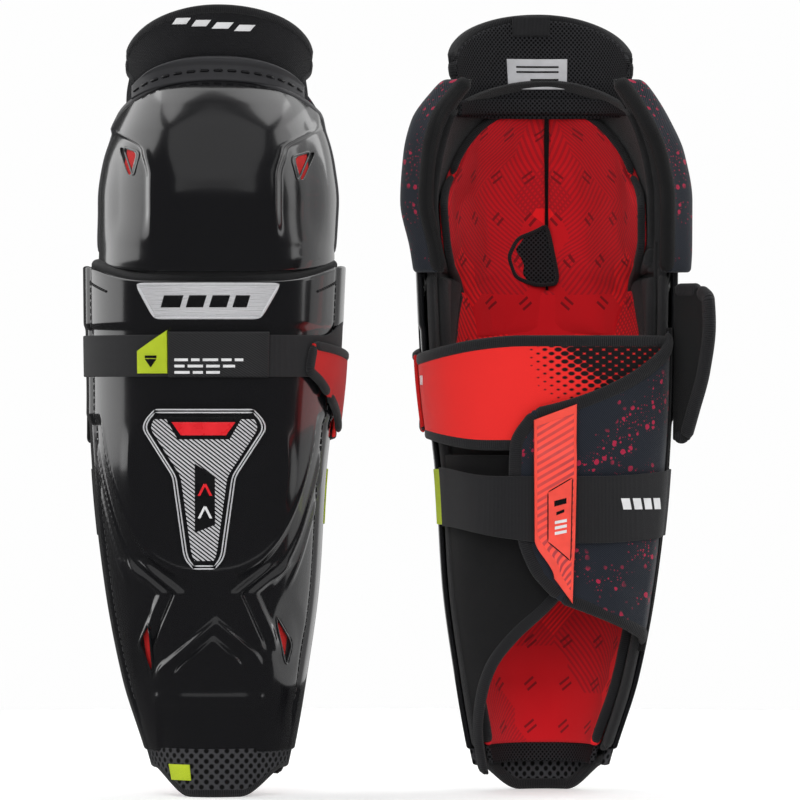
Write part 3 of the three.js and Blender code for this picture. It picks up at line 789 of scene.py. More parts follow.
def ribbed(name, colour, pitch=1.1, roughness=0.75):
    """Elastic or binding tape: close ribs across its length, over a fine cross thread; the rib tops carry
    a painted highlight and the grooves painted shade.
    """
    material, tree, shader, cloth, place = start_finish(name, colour, roughness)
    rib = use(tree, stripes, Vector=cloth, Angle=0.0, Pitch=pitch, Share=0.6)["Stripe"]
    thread = use(tree, stripes, Vector=cloth, Angle=math.pi / 2, Pitch=0.7, Share=0.6)["Stripe"]
    height = maths(tree, "ADD", rib, maths(tree, "MULTIPLY", thread, 0.4))
    # pale and dark follow the rib height: painted highlight on the ribs, painted shade between them
    pale = tuple(min(c * 2.2, 1) for c in colour) + (1,)
    dark = tuple(c * 0.5 for c in colour) + (1,)
    link(tree, blend_colour(tree, ramp(tree, height, 0, 1.4), dark, pale), shader, "Base Color")
    shader.inputs["Sheen Weight"].default_value = 0.1
    raise_surface(tree, shader, height, 0.0003, 0.8)
    return material


def spacer_mesh(name, pitch=3.0, colour=(0.02, 0.02, 0.022), hole=(0.001, 0.001, 0.001)):
    """Warp-knit mesh: round holes on a staggered grid, and a painted highlight on the thread crowns."""
    material, tree, shader, cloth, place = start_finish(name, colour, 0.8)
    cells = (1 / pitch, 1 / pitch, 0)
    hole_mask = use(tree, holes, Vector=cloth, Cells=cells, Radius=0.24)["Hole"]
    thread = use(tree, weave, Vector=cloth, Density=(2.4, 2.4, 2.4))["Height"]
    # pale follows the thread height: a painted highlight on the thread crowns
    pale = tuple(min(c * 2.0, 1) for c in colour) + (1,)
    cloth_with_painted_highlight = blend_colour(tree, thread, (*colour, 1), pale)
    link(tree, blend_colour(tree, hole_mask, cloth_with_painted_highlight, (*hole, 1)), shader, "Base Color")
    height = maths(tree, "SUBTRACT", maths(tree, "MULTIPLY", thread, 0.3), hole_mask)
    raise_surface(tree, shader, height, 0.0006, 0.9)
    return material


def liner_print():
    """Red knit with a tonal print: hatched patches, darker patches and small dark crosses, under a
    painted highlight on each thread's crown.
    """
    material, tree, shader, cloth, place = start_finish("liner_print", (0.72, 0.02, 0.025), 0.75)
    patch = put(tree, "ShaderNodeTexVoronoi", {"Vector": cloth, "Scale": 0.019},
                voronoi_dimensions="2D", distance="CHEBYCHEV")
    tint = tree.nodes[-1].outputs["Color"]
    parts = tree.nodes.new("ShaderNodeSeparateColor")
    tree.links.new(tint, parts.inputs[0])
    hatch = use(tree, stripes, Vector=cloth, Angle=math.radians(45), Pitch=2.6, Share=0.5)["Stripe"]
    back = use(tree, stripes, Vector=cloth, Angle=math.radians(-45), Pitch=3.4, Share=0.45)["Stripe"]
    in_hatch = ramp(tree, parts.outputs[0], 0.5, 0.52)
    in_back = ramp(tree, parts.outputs[1], 0.62, 0.64)
    line = maths(tree, "MAXIMUM", maths(tree, "MULTIPLY", hatch, in_hatch),
                 maths(tree, "MULTIPLY", back, in_back))
    tone = blend_colour(tree, ramp(tree, parts.outputs[2], 0.45, 0.47),
                        (0.92, 0.01, 0.016, 1), (0.68, 0.006, 0.014, 1))
    tone = blend_colour(tree, maths(tree, "MULTIPLY", line, 0.75), tone, (0.38, 0.008, 0.018, 1))
    cell = put(tree, "ShaderNodeVectorMath", [cloth, (1 / 27, 1 / 27, 0)], operation="MULTIPLY")
    place_in = put(tree, "ShaderNodeVectorMath", [cell], operation="FRACTION")
    centred = put(tree, "ShaderNodeVectorMath", [place_in, (0.5, 0.5, 0)], operation="SUBTRACT")
    turned = put(tree, "ShaderNodeMapping", {"Vector": centred, "Rotation": (0, 0, 0.6)})
    xyz = tree.nodes.new("ShaderNodeSeparateXYZ")
    tree.links.new(turned, xyz.inputs[0])
    ax, ay = (maths(tree, "ABSOLUTE", s) for s in xyz.outputs[:2])
    gap = maths(tree, "ABSOLUTE", maths(tree, "SUBTRACT", ay, 0.075))
    cross = maths(tree, "MULTIPLY", maths(tree, "LESS_THAN", gap, 0.03),
                  maths(tree, "LESS_THAN", ax, 0.16))
    tone = blend_colour(tree, maths(tree, "MULTIPLY", cross, 0.85), tone, (0.12, 0.004, 0.01, 1))
    thread = use(tree, weave, Vector=cloth, Density=(2.2, 2.2, 2.2))["Height"]
    # painted highlight: the colour turns lighter on each thread's crown
    thread_crown_highlight = blend_colour(tree, ramp(tree, thread, 0, 1, 0.0, 0.1), tone, (1.0, 0.08, 0.07, 1))
    link(tree, thread_crown_highlight, shader, "Base Color")
    shader.inputs["Sheen Weight"].default_value = 0.04
    raise_surface(tree, shader, thread, 0.0002, 0.7)
    return material


def splashed_twill(name, cells=0.17, size=0.34):
    """Charcoal-navy twill with crimson ink drops of two sizes; the raised twill lines are painted
    lighter, a painted highlight.
    """
    material, tree, shader, cloth, place = start_finish(name, (0.016, 0.019, 0.03), 0.8)
    big = use(tree, splash, Vector=cloth, Cells=(cells, cells, 0), Size=size)["Drop"]
    small = use(tree, splash, Vector=cloth, Cells=(cells * 2.7, cells * 2.7, 0), Size=size * 0.8)["Drop"]
    cloud = use(tree, wear, Vector=cloth, Scale=0.035)["Value"]
    few = maths(tree, "MULTIPLY", small, ramp(tree, cloud, 0.45, 0.7))
    drop = maths(tree, "MAXIMUM", maths(tree, "MULTIPLY", big, ramp(tree, cloud, 0.35, 0.6)), few)
    twill = use(tree, stripes, Vector=cloth, Angle=math.radians(50), Pitch=1.0, Share=0.55)["Stripe"]
    # ground is lighter on the raised twill lines: a painted highlight
    ground = blend_colour(tree, twill, (0.006, 0.0075, 0.011, 1), (0.02, 0.025, 0.036, 1))
    link(tree, blend_colour(tree, drop, ground, (0.36, 0.014, 0.05, 1)), shader, "Base Color")
    shader.inputs["Sheen Weight"].default_value = 0.12
    raise_surface(tree, shader, twill, 0.0002, 0.7)
    return material


def wrap_print():
    """Red stretch cloth with black slots that grow towards the top and the outer side, and a painted
    highlight on each thread's crown.
    """
    material, tree, shader, cloth, place = start_finish("wrap_print", (0.8, 0.02, 0.02), 0.6)
    parts = tree.nodes.new("ShaderNodeSeparateXYZ")
    tree.links.new(cloth, parts.inputs[0])
    across = ramp(tree, parts.outputs[0], -10.0, 45.0)
    up = ramp(tree, parts.outputs[1], 232.0, 284.0)
    grow = maths(tree, "MULTIPLY", across, up)
    radius = ramp(tree, grow, 0.02, 0.65, 0.0, 0.42)
    slot_mask = use(tree, holes, Vector=cloth, Cells=(0.12, 0.2, 0), Radius=radius)["Hole"]
    shown = maths(tree, "MULTIPLY", slot_mask, maths(tree, "GREATER_THAN", radius, 0.07))
    thread = use(tree, weave, Vector=cloth, Density=(2.0, 2.0, 2.0))["Height"]
    # red is lighter on the thread crowns: a painted highlight
    red = blend_colour(tree, thread, (0.68, 0.012, 0.012, 1), (0.95, 0.03, 0.025, 1))
    link(tree, blend_colour(tree, shown, red, (0.01, 0.008, 0.009, 1)), shader, "Base Color")
    shader.inputs["Sheen Weight"].default_value = 0.04
    raise_surface(tree, shader, thread, 0.0002, 0.6)
    return material


# %% Make every finish once
GLOSS, RIM, SILVER, BADGE = gloss_shell(), satin_rim(), brushed_silver(), badge_face()
RED_ENAMEL = plain_enamel("red_enamel", (0.75, 0.012, 0.02), 0.28)
WHITE_ENAMEL = plain_enamel("white_enamel", (0.75, 0.75, 0.76), 0.35)
LABEL = plain_enamel("label_tape", (0.5, 0.5, 0.52), 0.5)
BLACK_ENAMEL = plain_enamel("black_enamel", (0.006, 0.006, 0.007), 0.25)
PATCH, KEEPER = rubber_patch(), keeper_rubber()
CORAL = plain_enamel("coral_rubber", (0.92, 0.07, 0.045), 0.42)
FOAM = woven("foam_knit", (0.012, 0.012, 0.013), 1.8)
CANVAS = woven("flap_canvas", (0.008, 0.008, 0.009), 1.1, sheen=0.05, light=2.4)
WING = woven("wing_knit", (0.007, 0.007, 0.0075), 1.5, sheen=0.06)
TAPE = ribbed("binding_tape", (0.009, 0.009, 0.01), 1.3)
ELASTIC = ribbed("strap_elastic", (0.01, 0.01, 0.011), 0.9)
NEON = woven("neon_tag", (0.72, 0.98, 0.04), 2.6, sheen=0.0, roughness=0.6, light=1.15)
RED_CLOTH = woven("tab_red", (0.75, 0.015, 0.015), 2.0, sheen=0.05, roughness=0.6, light=1.25)
MESH = spacer_mesh("black_mesh", 3.0)
CUFF_MESH = spacer_mesh("cuff_mesh", 6.5, (0.035, 0.035, 0.038), (0.005, 0.005, 0.005))
LINER = liner_print()
TWILL, PAD_TWILL = splashed_twill("calf_twill"), splashed_twill("pad_twill", 0.17, 0.32)
WRAP = wrap_print()
THREAD = woven("stitch_thread", (0.018, 0.018, 0.02), 3.0, light=2.0)
print("finishes:", len(bpy.data.materials))

# %% [markdown]
# ## The shin shell
# The real shell is one moulding: a raised central shield with a U-shaped crest, soft facets
# beside it, chevrons below it, a ledge near the ankle and a flat flange for the stitching.
# All of that is relief, a height added to the smooth outline, so the whole shell stays one
# grid. The two vents are cut afterwards with a boolean, because a triangle doesn't follow
# the grid.


# %% Shin shell relief
def shin_middle(z):
    outer, inner, _, _ = SHIN(z)
    return (inner - outer) / 4


def angle_at(leg, x, z):
    """The angle from the front at which the outline has this x: asin(x / half width)."""
    outer, inner, _, _ = leg(np.asarray(z, float))
    width = np.where(np.asarray(x) > 0, inner, outer)
    return np.degrees(np.arcsin(np.clip(x / width, -0.999, 0.999)))


def ridge(x, width):
    """A straight-sided ridge 1 high and two widths across, with a slightly rounded top."""
    return np.clip(1.1 - np.sqrt((x / width) ** 2 + 0.01), 0, 1)


shield_line = curve((0, 139), (15, 141), (30, 148), (40, 158), (48, 171), (55, 188), (62, 214),
                    (67, 240))
outer_line = curve((34, 128), (46, 143), (56, 163), (64, 190), (71, 222), (74, 240))
groove_angle = curve((20, 66), (120, 70), (330, 72))


def shin_relief(angle, z, point):
    """Sum of the moulded features, in mm above the plain outline."""
    x = point[..., 0] + 2
    side = np.abs(x)
    over = z - shield_line(side)
    fade = 1 - smooth(z, 214, 244)
    lift = 3.4 * smooth(over, -7, 0.5) * (1 - 0.75 * smooth(z, 200, 262))
    lift += 0.9 * bump(over, 1.5, 2.4) * fade
    low = z - outer_line(side)
    lift += 1.8 * ridge(low, 4.0) * smooth(side, 36, 44) * (1 - smooth(z, 205, 236))
    lift += 1.0 * ridge(low + 17, 4.0) * smooth(side, 48, 54) * (1 - smooth(z, 170, 215))
    lift += 1.1 * ridge(side - mix(47, 39, smooth(206 - z, 0, 60)), 5) * smooth(z, 172, 200) * (
        1 - smooth(z, 214, 236))
    bend = np.where(z > 128, 18 + (z - 128) * 1.2, 18 + (128 - z) * 0.42)
    band = smooth(z, 88, 100) * (1 - smooth(z, 140, 150))
    for shift, height in ((0, 3.4), (9.5, 2.9)):
        lift += height * ridge(side - bend - shift, 4.4) * band
    middle = 1 - smooth(side, 28, 35)
    lift += 3.2 * ridge(z - 109 + 0.86 * np.abs(x - 5), 4.6) * middle
    lift += 2.6 * ridge(z - 98 + 0.9 * np.abs(x - 3), 4.2) * (1 - smooth(side, 17, 23))
    lift -= 1.6 * (1 - smooth(z, 56, 58.5)) * (1 - smooth(side, 29, 33))
    lift += 1.5 * bump(z, 61.5, 4.0) * (1 - smooth(side, 31, 37))
    lift += 1.2 * smooth(z, 292, 297)
    seam = np.abs(angle) - groove_angle(z)
    lift -= 1.7 * bump(seam, 0, 2.0) * smooth(z, 40, 60)
    lift += 0.5 * smooth(seam, 1, 4)
    for cx, cz in ((-41, 95), (48, 99)):
        near = np.hypot((x - 2 - cx) / 10, (z - cz) / 26)
        lift -= 1.2 * (1 - smooth(near, 0.6, 1.2))
    return lift


def shin_shell_top(u):
    return mix(SHIN_TOP, SHIN_LENGTH, smooth(np.abs(2 * u - 1), 0.3, 0.85))


shin_shell_at = panel(SHIN, -SHELL_EDGE, SHELL_EDGE, SHELL_BOTTOM, shin_shell_top, (-3, 0),
                      shin_relief)
shin_shell = build("shin_shell_look", sheet_arrays(shin_shell_at, 186, 230, 1.4), GLOSS,
                   "shin", ["shin_shell"])
print("shin shell faces:", len(shin_shell[0].data.polygons))


# %% Vents
def rounded_loop(corners, share=0.22, steps=5):
    """A closed outline through straight sides, each corner replaced by a quadratic curve."""
    corners = np.array(corners, float)
    ring = []
    for i in range(len(corners)):
        before, here, after = corners[i - 1], corners[i], corners[(i + 1) % len(corners)]
        a, b = mix(here, before, share), mix(here, after, share)
        for t in np.linspace(0, 1, steps):
            ring.append(mix(mix(a, here, t), mix(here, b, t), t))
    return np.array(ring)


def cut_vents(pieces, triangles):
    """Cuts rounded triangular holes: a straight prism is taken off exactly."""
    for piece in pieces:
        guard = piece.name[:7]
        for n, corners in enumerate(triangles):
            ring = rounded_loop(corners)
            count = len(ring)
            points = np.concatenate([
                np.stack([r[:, 0], np.full(count, y), r[:, 1]], -1)
                for r, y in ((ring, -140.0), (ring, -10.0))
            ])
            cutter = bpy.data.meshes.new("vent_cutter")
            faces = [list(range(count)), list(range(count, 2 * count))[::-1]]
            faces += [[i, i + count, (i + 1) % count + count, (i + 1) % count]
                      for i in range(count)]
            cutter.from_pydata(to_world(points, guard).tolist(), [], faces)
            shape = bmesh.new()
            shape.from_mesh(cutter)
            bmesh.ops.recalc_face_normals(shape, faces=shape.faces)
            shape.to_mesh(cutter)
            shape.free()
            holder = bpy.data.objects.new("vent_cutter", cutter)
            bpy.context.scene.collection.objects.link(holder)
            modifier = piece.modifiers.new(f"vent_{n}", "BOOLEAN")
            modifier.operation = "DIFFERENCE"
            modifier.object = holder
            modifier.solver = "EXACT"
            graph = bpy.context.evaluated_depsgraph_get()
            result = bpy.data.meshes.new_from_object(piece.evaluated_get(graph))
            piece.modifiers.remove(modifier)
            piece.data = result
            bpy.data.objects.remove(holder)
            bpy.data.meshes.remove(cutter)


def vent_trim(name, leg, at_relief, vents, body):
    """A rounded bead round each vent and, behind it, red cloth on the half nearer the leg."""
    beads, cloths = [], []
    for corners in vents:
        ring = rounded_loop(corners, 0.22, 5)
        ring = np.concatenate([ring, ring[:2]])
        angle = angle_at(leg, ring[:, 0], ring[:, 1])
        flat = leg_point(leg, angle, ring[:, 1], 0.0)
        lift = at_relief(angle, ring[:, 1], flat)
        path = leg_point(leg, angle, ring[:, 1], lift - 0.1)
        normal = path - leg_point(leg, angle, ring[:, 1], lift - 4)
        beads.append(sweep(path, normal, 1.7, 1.2, 2.2, 8, fade=False))
        low, high = ring[:, 1].min() - 2, ring[:, 1].max() + 2
        xs = sorted(np.array(corners)[:, 0], key=abs)
        middle = mix(xs[0], xs[-1], 0.9)
        a, b = (float(angle_at(leg, v, (low + high) / 2)) for v in (xs[0] * 0.93, middle))
        cloth_at = panel(leg, min(a, b), max(a, b), low, high, (-4.6, -3.7))
        cloths.append(sheet_arrays(cloth_at, 6, 10, 0.3))
    build(f"{name}_vent_beads", join_arrays(beads), GLOSS, body)
    build(f"{name}_vent_cloth", join_arrays(cloths), RED_CLOTH, body)


SHIN_VENTS = [
    [(-38.4, 111), (-45.6, 96), (-37.8, 74)],
    [(39.7, 116), (51, 96), (47, 81)],
]
cut_vents(shin_shell, SHIN_VENTS)
vent_trim("shin", SHIN, shin_relief, SHIN_VENTS, "shin")
print("shin shell after vents:", len(shin_shell[0].data.polygons))

# %% [markdown]
# ## The knee shell
# A deep dome with two raised cheeks. The cheeks meet the dome in a crease that runs down
# beside it, and each has a triangular vent. The same grid and relief idea works here.


# %% Knee shell
def knee_relief(angle, z, point):
    """The dome stands proud of two cheeks; its lower edge flares a little."""
    x = point[..., 0]
    side = np.where(x > 0, x - 3, -x)
    crease = 38 + 4 * smooth(z, 388, 406) + 22 * smooth(z, 404, 421)
    low = smooth(z, 344, 368)
    keep = 1 - 0.8 * smooth(side, 60, 72)
    lift = -3.2 * smooth(side - crease, -0.5, 5.5) * low * keep
    lift += 0.6 * bump(side - crease, -1.2, 1.6) * low
    lift += 0.5 * bump(z, 389, 6) * (1 - smooth(side, 12, 34))
    lift += 1.2 * (1 - smooth(z, 334, 346))
    lift -= 1.4 * smooth(z, 442, 450) * (1 - smooth(side, 40, 60))
    return lift


def knee_shell_bottom(u):
    return mix(KNEE_BASE, KNEE_BASE + 9, np.abs(2 * u - 1) ** 3)


def knee_shell_top(u):
    return mix(KNEE_TOP, KNEE_TOP - 24, np.abs(2 * u - 1) ** 2)


knee_shell_at = panel(KNEE, -86, 86, knee_shell_bottom, knee_shell_top, (-3, 0), knee_relief)
knee_shell = build("knee_shell_look", sheet_arrays(knee_shell_at, 150, 110, 1.4), GLOSS,
                   "knee", ["knee_shell"])
KNEE_VENTS = [
    [(-58.8, 407.5), (-46.7, 403), (-51, 387)],
    [(65, 404.5), (52, 400), (56.4, 384)],
]
cut_vents(knee_shell, KNEE_VENTS)
vent_trim("knee", KNEE, knee_relief, KNEE_VENTS, "knee")
print("knee shell faces:", len(knee_shell[0].data.polygons))

# %% [markdown]
# ## Foam and liners
# Behind each shell is a black foam layer with a rolled edge, and inside it the printed red
# liner. A liner is padded, so its inside surface swells between the seams: the layer's inner
# distance is moved by a soft relief of channels.

# %% Shin foam and liner
foam_at = panel(SHIN, -103, 103, SHELL_BOTTOM - 1, lambda u: shin_shell_top(u) - 1, (-9.7, -4.7))
build("shin_foam_look", sheet_arrays(foam_at, 70, 60, 2.2), FOAM, "shin",
      ["shin_foam"])
for side, label in ((1, "inner"), (-1, "outer")):
    roll_edge = panel(SHIN, -SHELL_EDGE - 5, SHELL_EDGE + 5, SHELL_BOTTOM, SHIN_LENGTH - 4,
                      (-9, -2.5))
    path, normal = edge_of(roll_edge, (0.5 + side / 2,) * 2, (0, 1))
    build(f"foam_roll_{label}", sweep(path, normal, 7, 6.5, 2.2), FOAM, "shin")
top_roll_at = panel(SHIN, -99, 99, lambda u: shin_shell_top(u) - 4,
                    lambda u: shin_shell_top(u) + 4.5, (-11.5, -2.9))
build("shin_top_roll", sheet_arrays(top_roll_at, 70, 8, 3.5), FOAM, "shin")


def liner_layer(u, v, angle, z):
    """Swells inwards between quilting lines, with slow dents that never repeat."""
    line = np.abs(np.sin((z - 20) / 52 * math.pi))
    dent = np.sin(angle / 13 + z / 17) * np.sin(z / 11 - angle / 19)
    return -15.6 - 1.5 * line**0.5 - 0.9 * dent, np.full_like(z, -10.6)


liner_side = curve((20, 84), (150, 92), (250, 80), (323, 56))
liner_at = panel(SHIN, lambda v: -liner_side(mix(20, SHIN_TOP - 4, v)) - 4,
                 lambda v: liner_side(mix(20, SHIN_TOP - 4, v)), 30, SHIN_TOP - 4, liner_layer)
build("shin_liner_look", sheet_arrays(liner_at, 90, 110, 2.6), LINER, "shin",
      ["shin_liner"])
for side, label in ((1, "inner"), (-1, "outer")):
    build(f"shin_liner_{label}_tape", binding(liner_at, (0.5 + side / 2,) * 2, (0, 1), 7, 6.5, 1.5),
          TAPE, "shin")


# %% Shin side padding
def channel_layer(u, v, angle, z):
    """Soft upright channels beside the liner."""
    wave = np.abs(np.sin(u * 3 * math.pi)) ** 0.6
    return -15.5 - 2.2 * wave, np.full_like(z, -10.2)


for side, label in ((1, "inner"), (-1, "outer")):
    side_at = panel(SHIN, lambda v, s=side: s * (liner_side(mix(150, 326, v)) - 2), side * 103,
                    150, 326, channel_layer)
    build(f"shin_side_pad_{label}", sheet_arrays(side_at, 48, 40, 2.5), FOAM, "shin")
mesh_at = panel(SHIN, -84, 82, 18, 36, (-14.2, -10.4))
build("ankle_mesh", sheet_arrays(mesh_at, 60, 10, 1.5), MESH, "shin")

# %% Knee foam, roll and rim
knee_foam_at = panel(KNEE, -95, 95, lambda u: knee_shell_bottom(u) + 8,
                     lambda u: knee_shell_top(u) + 3, (-9.7, -4.7))
build("knee_foam_look", sheet_arrays(knee_foam_at, 60, 40, 2.4), FOAM, "knee",
      ["knee_foam"])
roll_at = panel(KNEE, -95, 95, lambda u: knee_shell_bottom(u) - 4,
                lambda u: knee_shell_bottom(u) + 7.5, (-11, -3.2))
build("knee_roll_look", sheet_arrays(roll_at, 60, 8, 4.0), FOAM, "knee",
      ["knee_roll"])
rim_bottom = lambda u: mix(KNEE_TOP - 2.5, KNEE_TOP - 13, np.abs(2 * u - 1) ** 2)
rim_top = lambda u: mix(RIM_TOP, RIM_TOP - 18, np.abs(2 * u - 1) ** 2.2)
rim_at = panel(THIGH, -58, 63, rim_bottom, rim_top, (-5, 0),
               lambda angle, z, point: 1.2 * smooth(z, RIM_TOP - 6 - 18 * np.abs(angle / 72) ** 2.2,
                                                    RIM_TOP - 3 - 18 * np.abs(angle / 72) ** 2.2))
build("rim_band_look", sheet_arrays(rim_at, 70, 24, 1.4), RIM, "knee", ["rim_band"])
t = np.linspace(0.05, 0.95, 60)
groove = rim_at(t, np.full(60, 0.42), 1.0)
outwards = groove - rim_at(t, np.full(60, 0.42), 0.0)
build("rim_dashes", stitches(groove, outwards, 8.6, 6.0, 0.9, 0.1), BLACK_ENAMEL, "knee")
left, normal_left = edge_of(knee_shell_at, (0, 0), (0.03, 1), depth=0.6)
over, normal_over = edge_of(knee_shell_at, (0, 1), (1, 1), depth=0.6)
right, normal_right = edge_of(knee_shell_at, (1, 1), (1, 0.03), depth=0.6)
piping = even_path(np.concatenate([
    np.concatenate([left, over[2:-2], right]),
    np.concatenate([normal_left, normal_over[2:-2], normal_right])], 1), 3.0)
build("knee_piping", sweep(piping[:, :3], piping[:, 3:], 4.6, 4.4, 2.3), RIM, "knee")

# %% Cloth between knee and shin
gap_at = panel(SHIN, -98, 98, SHIN_TOP - 16, lambda u: knee_shell_bottom(u) + 12, (-12.8, -9.8))
for piece in build("knee_gap_cloth", sheet_arrays(gap_at, 70, 20, 1.5), FOAM, None):
    guard = piece.name[:7]
    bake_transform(piece)

# %% [markdown]
# ## The knee liner
# Two red halves meet in a vertical seam, with a teardrop opening beside it that shows black
# mesh. Each half is a pillow, so it is blown up with cloth simulation from a slightly thin
# sheet, which puts soft uneven swelling where a formula would look too even.


# %% Knee liner shape
SEAM_TOP = (-1.5, 360.0)
TEAR_CORNERS = [(-1.5, 361), (-9.5, 323), (6, 322), (20, 327), (25, 340), (19, 352), (6, 357)]
knee_liner_edge = curve((288, 44), (300, 46), (318, 52), (336, 62), (352, 82), (372, 92),
                        (395, 91), (412, 84), (428, 72))


def knee_liner_top(u):
    return mix(KNEE_TOP - 14, KNEE_TOP - 58, u**3.0)


def knee_liner_layer(u, v, angle, z):
    """A soft pillow with slow dents, pulled in beside the seam and round the opening."""
    pillow = (16 * u * (1 - u) * v * (1 - v)) ** 0.35
    dent = np.sin(angle / 9 + z / 21) * np.sin(z / 13 - angle / 15)
    return -15.2 - 4.2 * pillow - 1.1 * dent * pillow, np.full_like(z, -12.0)


# %% Knee liner halves
def liner_leg(z):
    """The knee outline, going over into the shin outline below it."""
    return [mix(a, b, smooth(z, 312, 338)) for a, b in zip(SHIN(z), KNEE(z))]


LINER_LOW = 288
for side, label in ((1, "inner"), (-1, "outer")):
    def far_edge(v, s=side):
        return s * knee_liner_edge(mix(LINER_LOW, KNEE_TOP - 20, v))

    at = panel(liner_leg, side * 0.7 - 1, far_edge, LINER_LOW, knee_liner_top, knee_liner_layer)
    halves = build(f"knee_liner_{label}_look", sheet_arrays(at, 56, 70, 3.0), LINER, None,
                   [f"knee_liner_{label}"])
    puff(halves, cap=0.003)
    tape = join_arrays([binding(at, (0, 1), (1, 1), 5.0, 4.5, 2.0),
                        binding(at, (1, 1), (1, 0), 6.0, 5.0, 2.0)])
    halves += build(f"knee_liner_{label}_edge", tape, TAPE, None)
    for piece in halves:
        guard = piece.name[:7]
        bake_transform(piece)

# %% Teardrop mesh
def knee_inside(x, z, offset):
    """The point of the knee outline straight behind x at height z."""
    outer, inner, _, _ = liner_leg(z)
    width = np.where(x > 0, inner, outer) + offset
    return leg_point(liner_leg, np.degrees(np.arcsin(np.clip(x / width, -0.99, 0.99))), z, offset)


tear = rounded_loop(TEAR_CORNERS, 0.3, 6)
tear_middle = tear.mean(0)
rings = np.linspace(0.03, 1, 12)
front = np.concatenate([
    knee_inside(*mix(tear_middle, tear, r).T, -20.6 + 0.9 * r**6) for r in rings
])
count, total = len(tear), len(front)
index = np.arange(total).reshape(len(rings), count)
after = np.roll(index, -1, 1)
face = np.stack([index[:-1], after[:-1], after[1:], index[1:]], -1).reshape(-1, 4)
hub = [[index[0, i], index[0, i + 1], index[0, count - 2 - i], index[0, count - 1 - i]]
       for i in range(count // 2 - 1)]
face = np.concatenate([face, np.array(hub)[:, ::-1]])
edge_ring, edge_next = index[-1], after[-1]
wall = np.stack([edge_ring, edge_next, edge_next + total, edge_ring + total], -1)
tear_quads = np.concatenate([face, face[:, ::-1] + total, wall])
tear_uv = np.stack([front[:, 0], front[:, 2]], -1)
build("patella_mesh_look", (np.concatenate([front, front + [0, -1.5, 0]]), tear_quads,
                            np.concatenate([tear_uv, tear_uv])), MESH, "knee",
      ["patella_mesh"], lies_on=["knee_foam"])
tear = np.concatenate([tear, tear[:1]])
tear_path = knee_inside(tear[:, 0], tear[:, 1], -20.6)
build("patella_edge", sweep(tear_path, tear_path * [1, 1, 0], 2.6, 2.4, fade=False), TAPE,
      "knee")

# %% [markdown]
# ## Knee side pads
# The pads are fat lobes with splashed twill outside and black cloth on the roll. On the guard
# shown from behind they reach out to a wider line, PAD_WIDE, so they stand open.


# %% Side pads
pad_reach = curve((0, 0.75), (0.35, 1), (0.7, 0.95), (1, 0.45))
pad_y = curve((0, -3), (0.45, 12), (1, 30))
PAD_WIDE = {
    1: curve((324, 84), (344, 87), (374, 93), (404, 91), (425, 86), (445, 72), (455, 62)),
    -1: curve((324, 90), (344, 91), (374, 91), (404, 86), (425, 77), (445, 65), (455, 56)),
}


def pad_at(side, guard):
    """A lobe behind the shell's edge: out to its widest line, then back in towards the roll."""
    def middle(u, v):
        z = mix(KNEE_BASE + 1, KNEE_TOP + 1, v)
        outer, inner, _, _ = KNEE(np.clip(z, KNEE_BASE, KNEE_TOP - 4))
        width = (inner if side > 0 else outer) - 4.5
        far = PAD_WIDE[side](z) - 4 if guard == "guard_b" else width - 1
        out = mix(width, far, smooth(u, 0, 0.5)) - 12 * smooth(u, 0.5, 1)
        return np.stack([side * out, pad_y(u) * pad_reach(v) + 0 * u, z], -1)

    def at(u, v, depth):
        u, v, depth = np.broadcast_arrays(*(np.asarray(a, float) for a in (u, v, depth)))
        point = middle(u, v)
        ahead = middle(np.clip(u + 0.02, 0, 1), v) - middle(np.clip(u - 0.02, 0, 1), v)
        normal = np.stack([side * ahead[..., 1], -side * ahead[..., 0], 0 * u], -1)
        normal /= np.linalg.norm(normal, axis=-1)[..., None] + 1e-9
        return point + normal * (depth[..., None] - 0.5) * 8

    return at


def half_sheet(at, low, high):
    return lambda u, v, depth: at(u, v, mix(low, high, np.asarray(depth, float)))


for side, label in ((1, "inner"), (-1, "outer")):
    for guard in GUARDS:
        lobe = pad_at(side, guard)
        only = [guard]
        build(f"knee_pad_{label}_look", sheet_arrays(half_sheet(lobe, 0.45, 1), 26, 50, 3.0, 0.1),
              PAD_TWILL, "knee", [f"knee_pad_{label}"], guards=only)
        build(f"knee_pad_{label}_lining", sheet_arrays(half_sheet(lobe, 0, 0.5), 26, 50, 3.0),
              FOAM, "knee", guards=only)
        path, normal = edge_of(lobe, (1, 1), (0.0, 1.0))
        build(f"knee_pad_{label}_roll", sweep(path, normal, 9.5, 9.5, 2.1), WING, "knee",
              guards=only)

# %% [markdown]
# ## Thigh flap
# A crescent of canvas with a taped edge and mesh inside.

# %% Thigh flap
flap_bottom = lambda u: mix(RIM_TOP - 1, RIM_TOP - 18, np.abs(2 * u - 1) ** 2)
flap_round = lambda u: np.sqrt(np.clip(1 - (np.sin(np.radians(72 * (2 * u - 1))) / 0.955) ** 2, 0, 1))
flap_top = lambda u: FLAP_TOP - 34.5 + 33 * flap_round(u)
flap_left = lambda v: -mix(57, 68, smooth(v, 0, 0.5))
flap_right = lambda v: mix(61, 76, smooth(v, 0, 0.5))
flap_at = panel(THIGH, flap_left, flap_right, flap_bottom, flap_top, (-6, -2.6))
outer_face = panel(THIGH, flap_left, flap_right, flap_bottom, flap_top, (-4.4, -2.4))
build("thigh_flap_face", sheet_arrays(outer_face, 60, 24, 1.5), CANVAS, "thigh_flap",
      ["thigh_flap"])
edges = [binding(flap_at, (0, 1), (1, 1), 5.5, 5.4, 1.0),
         binding(flap_at, (0, 0), (0, 1), 5, 5.4, 1.0),
         binding(flap_at, (1, 1), (0, 1), 5, 5.4, 1.0)]
build("thigh_flap_tape", join_arrays(edges), TAPE, "thigh_flap")
loop_at = panel(THIGH, -2.5, 20, FLAP_TOP - 15, FLAP_TOP - 2.0, (-9.4, -7.4))
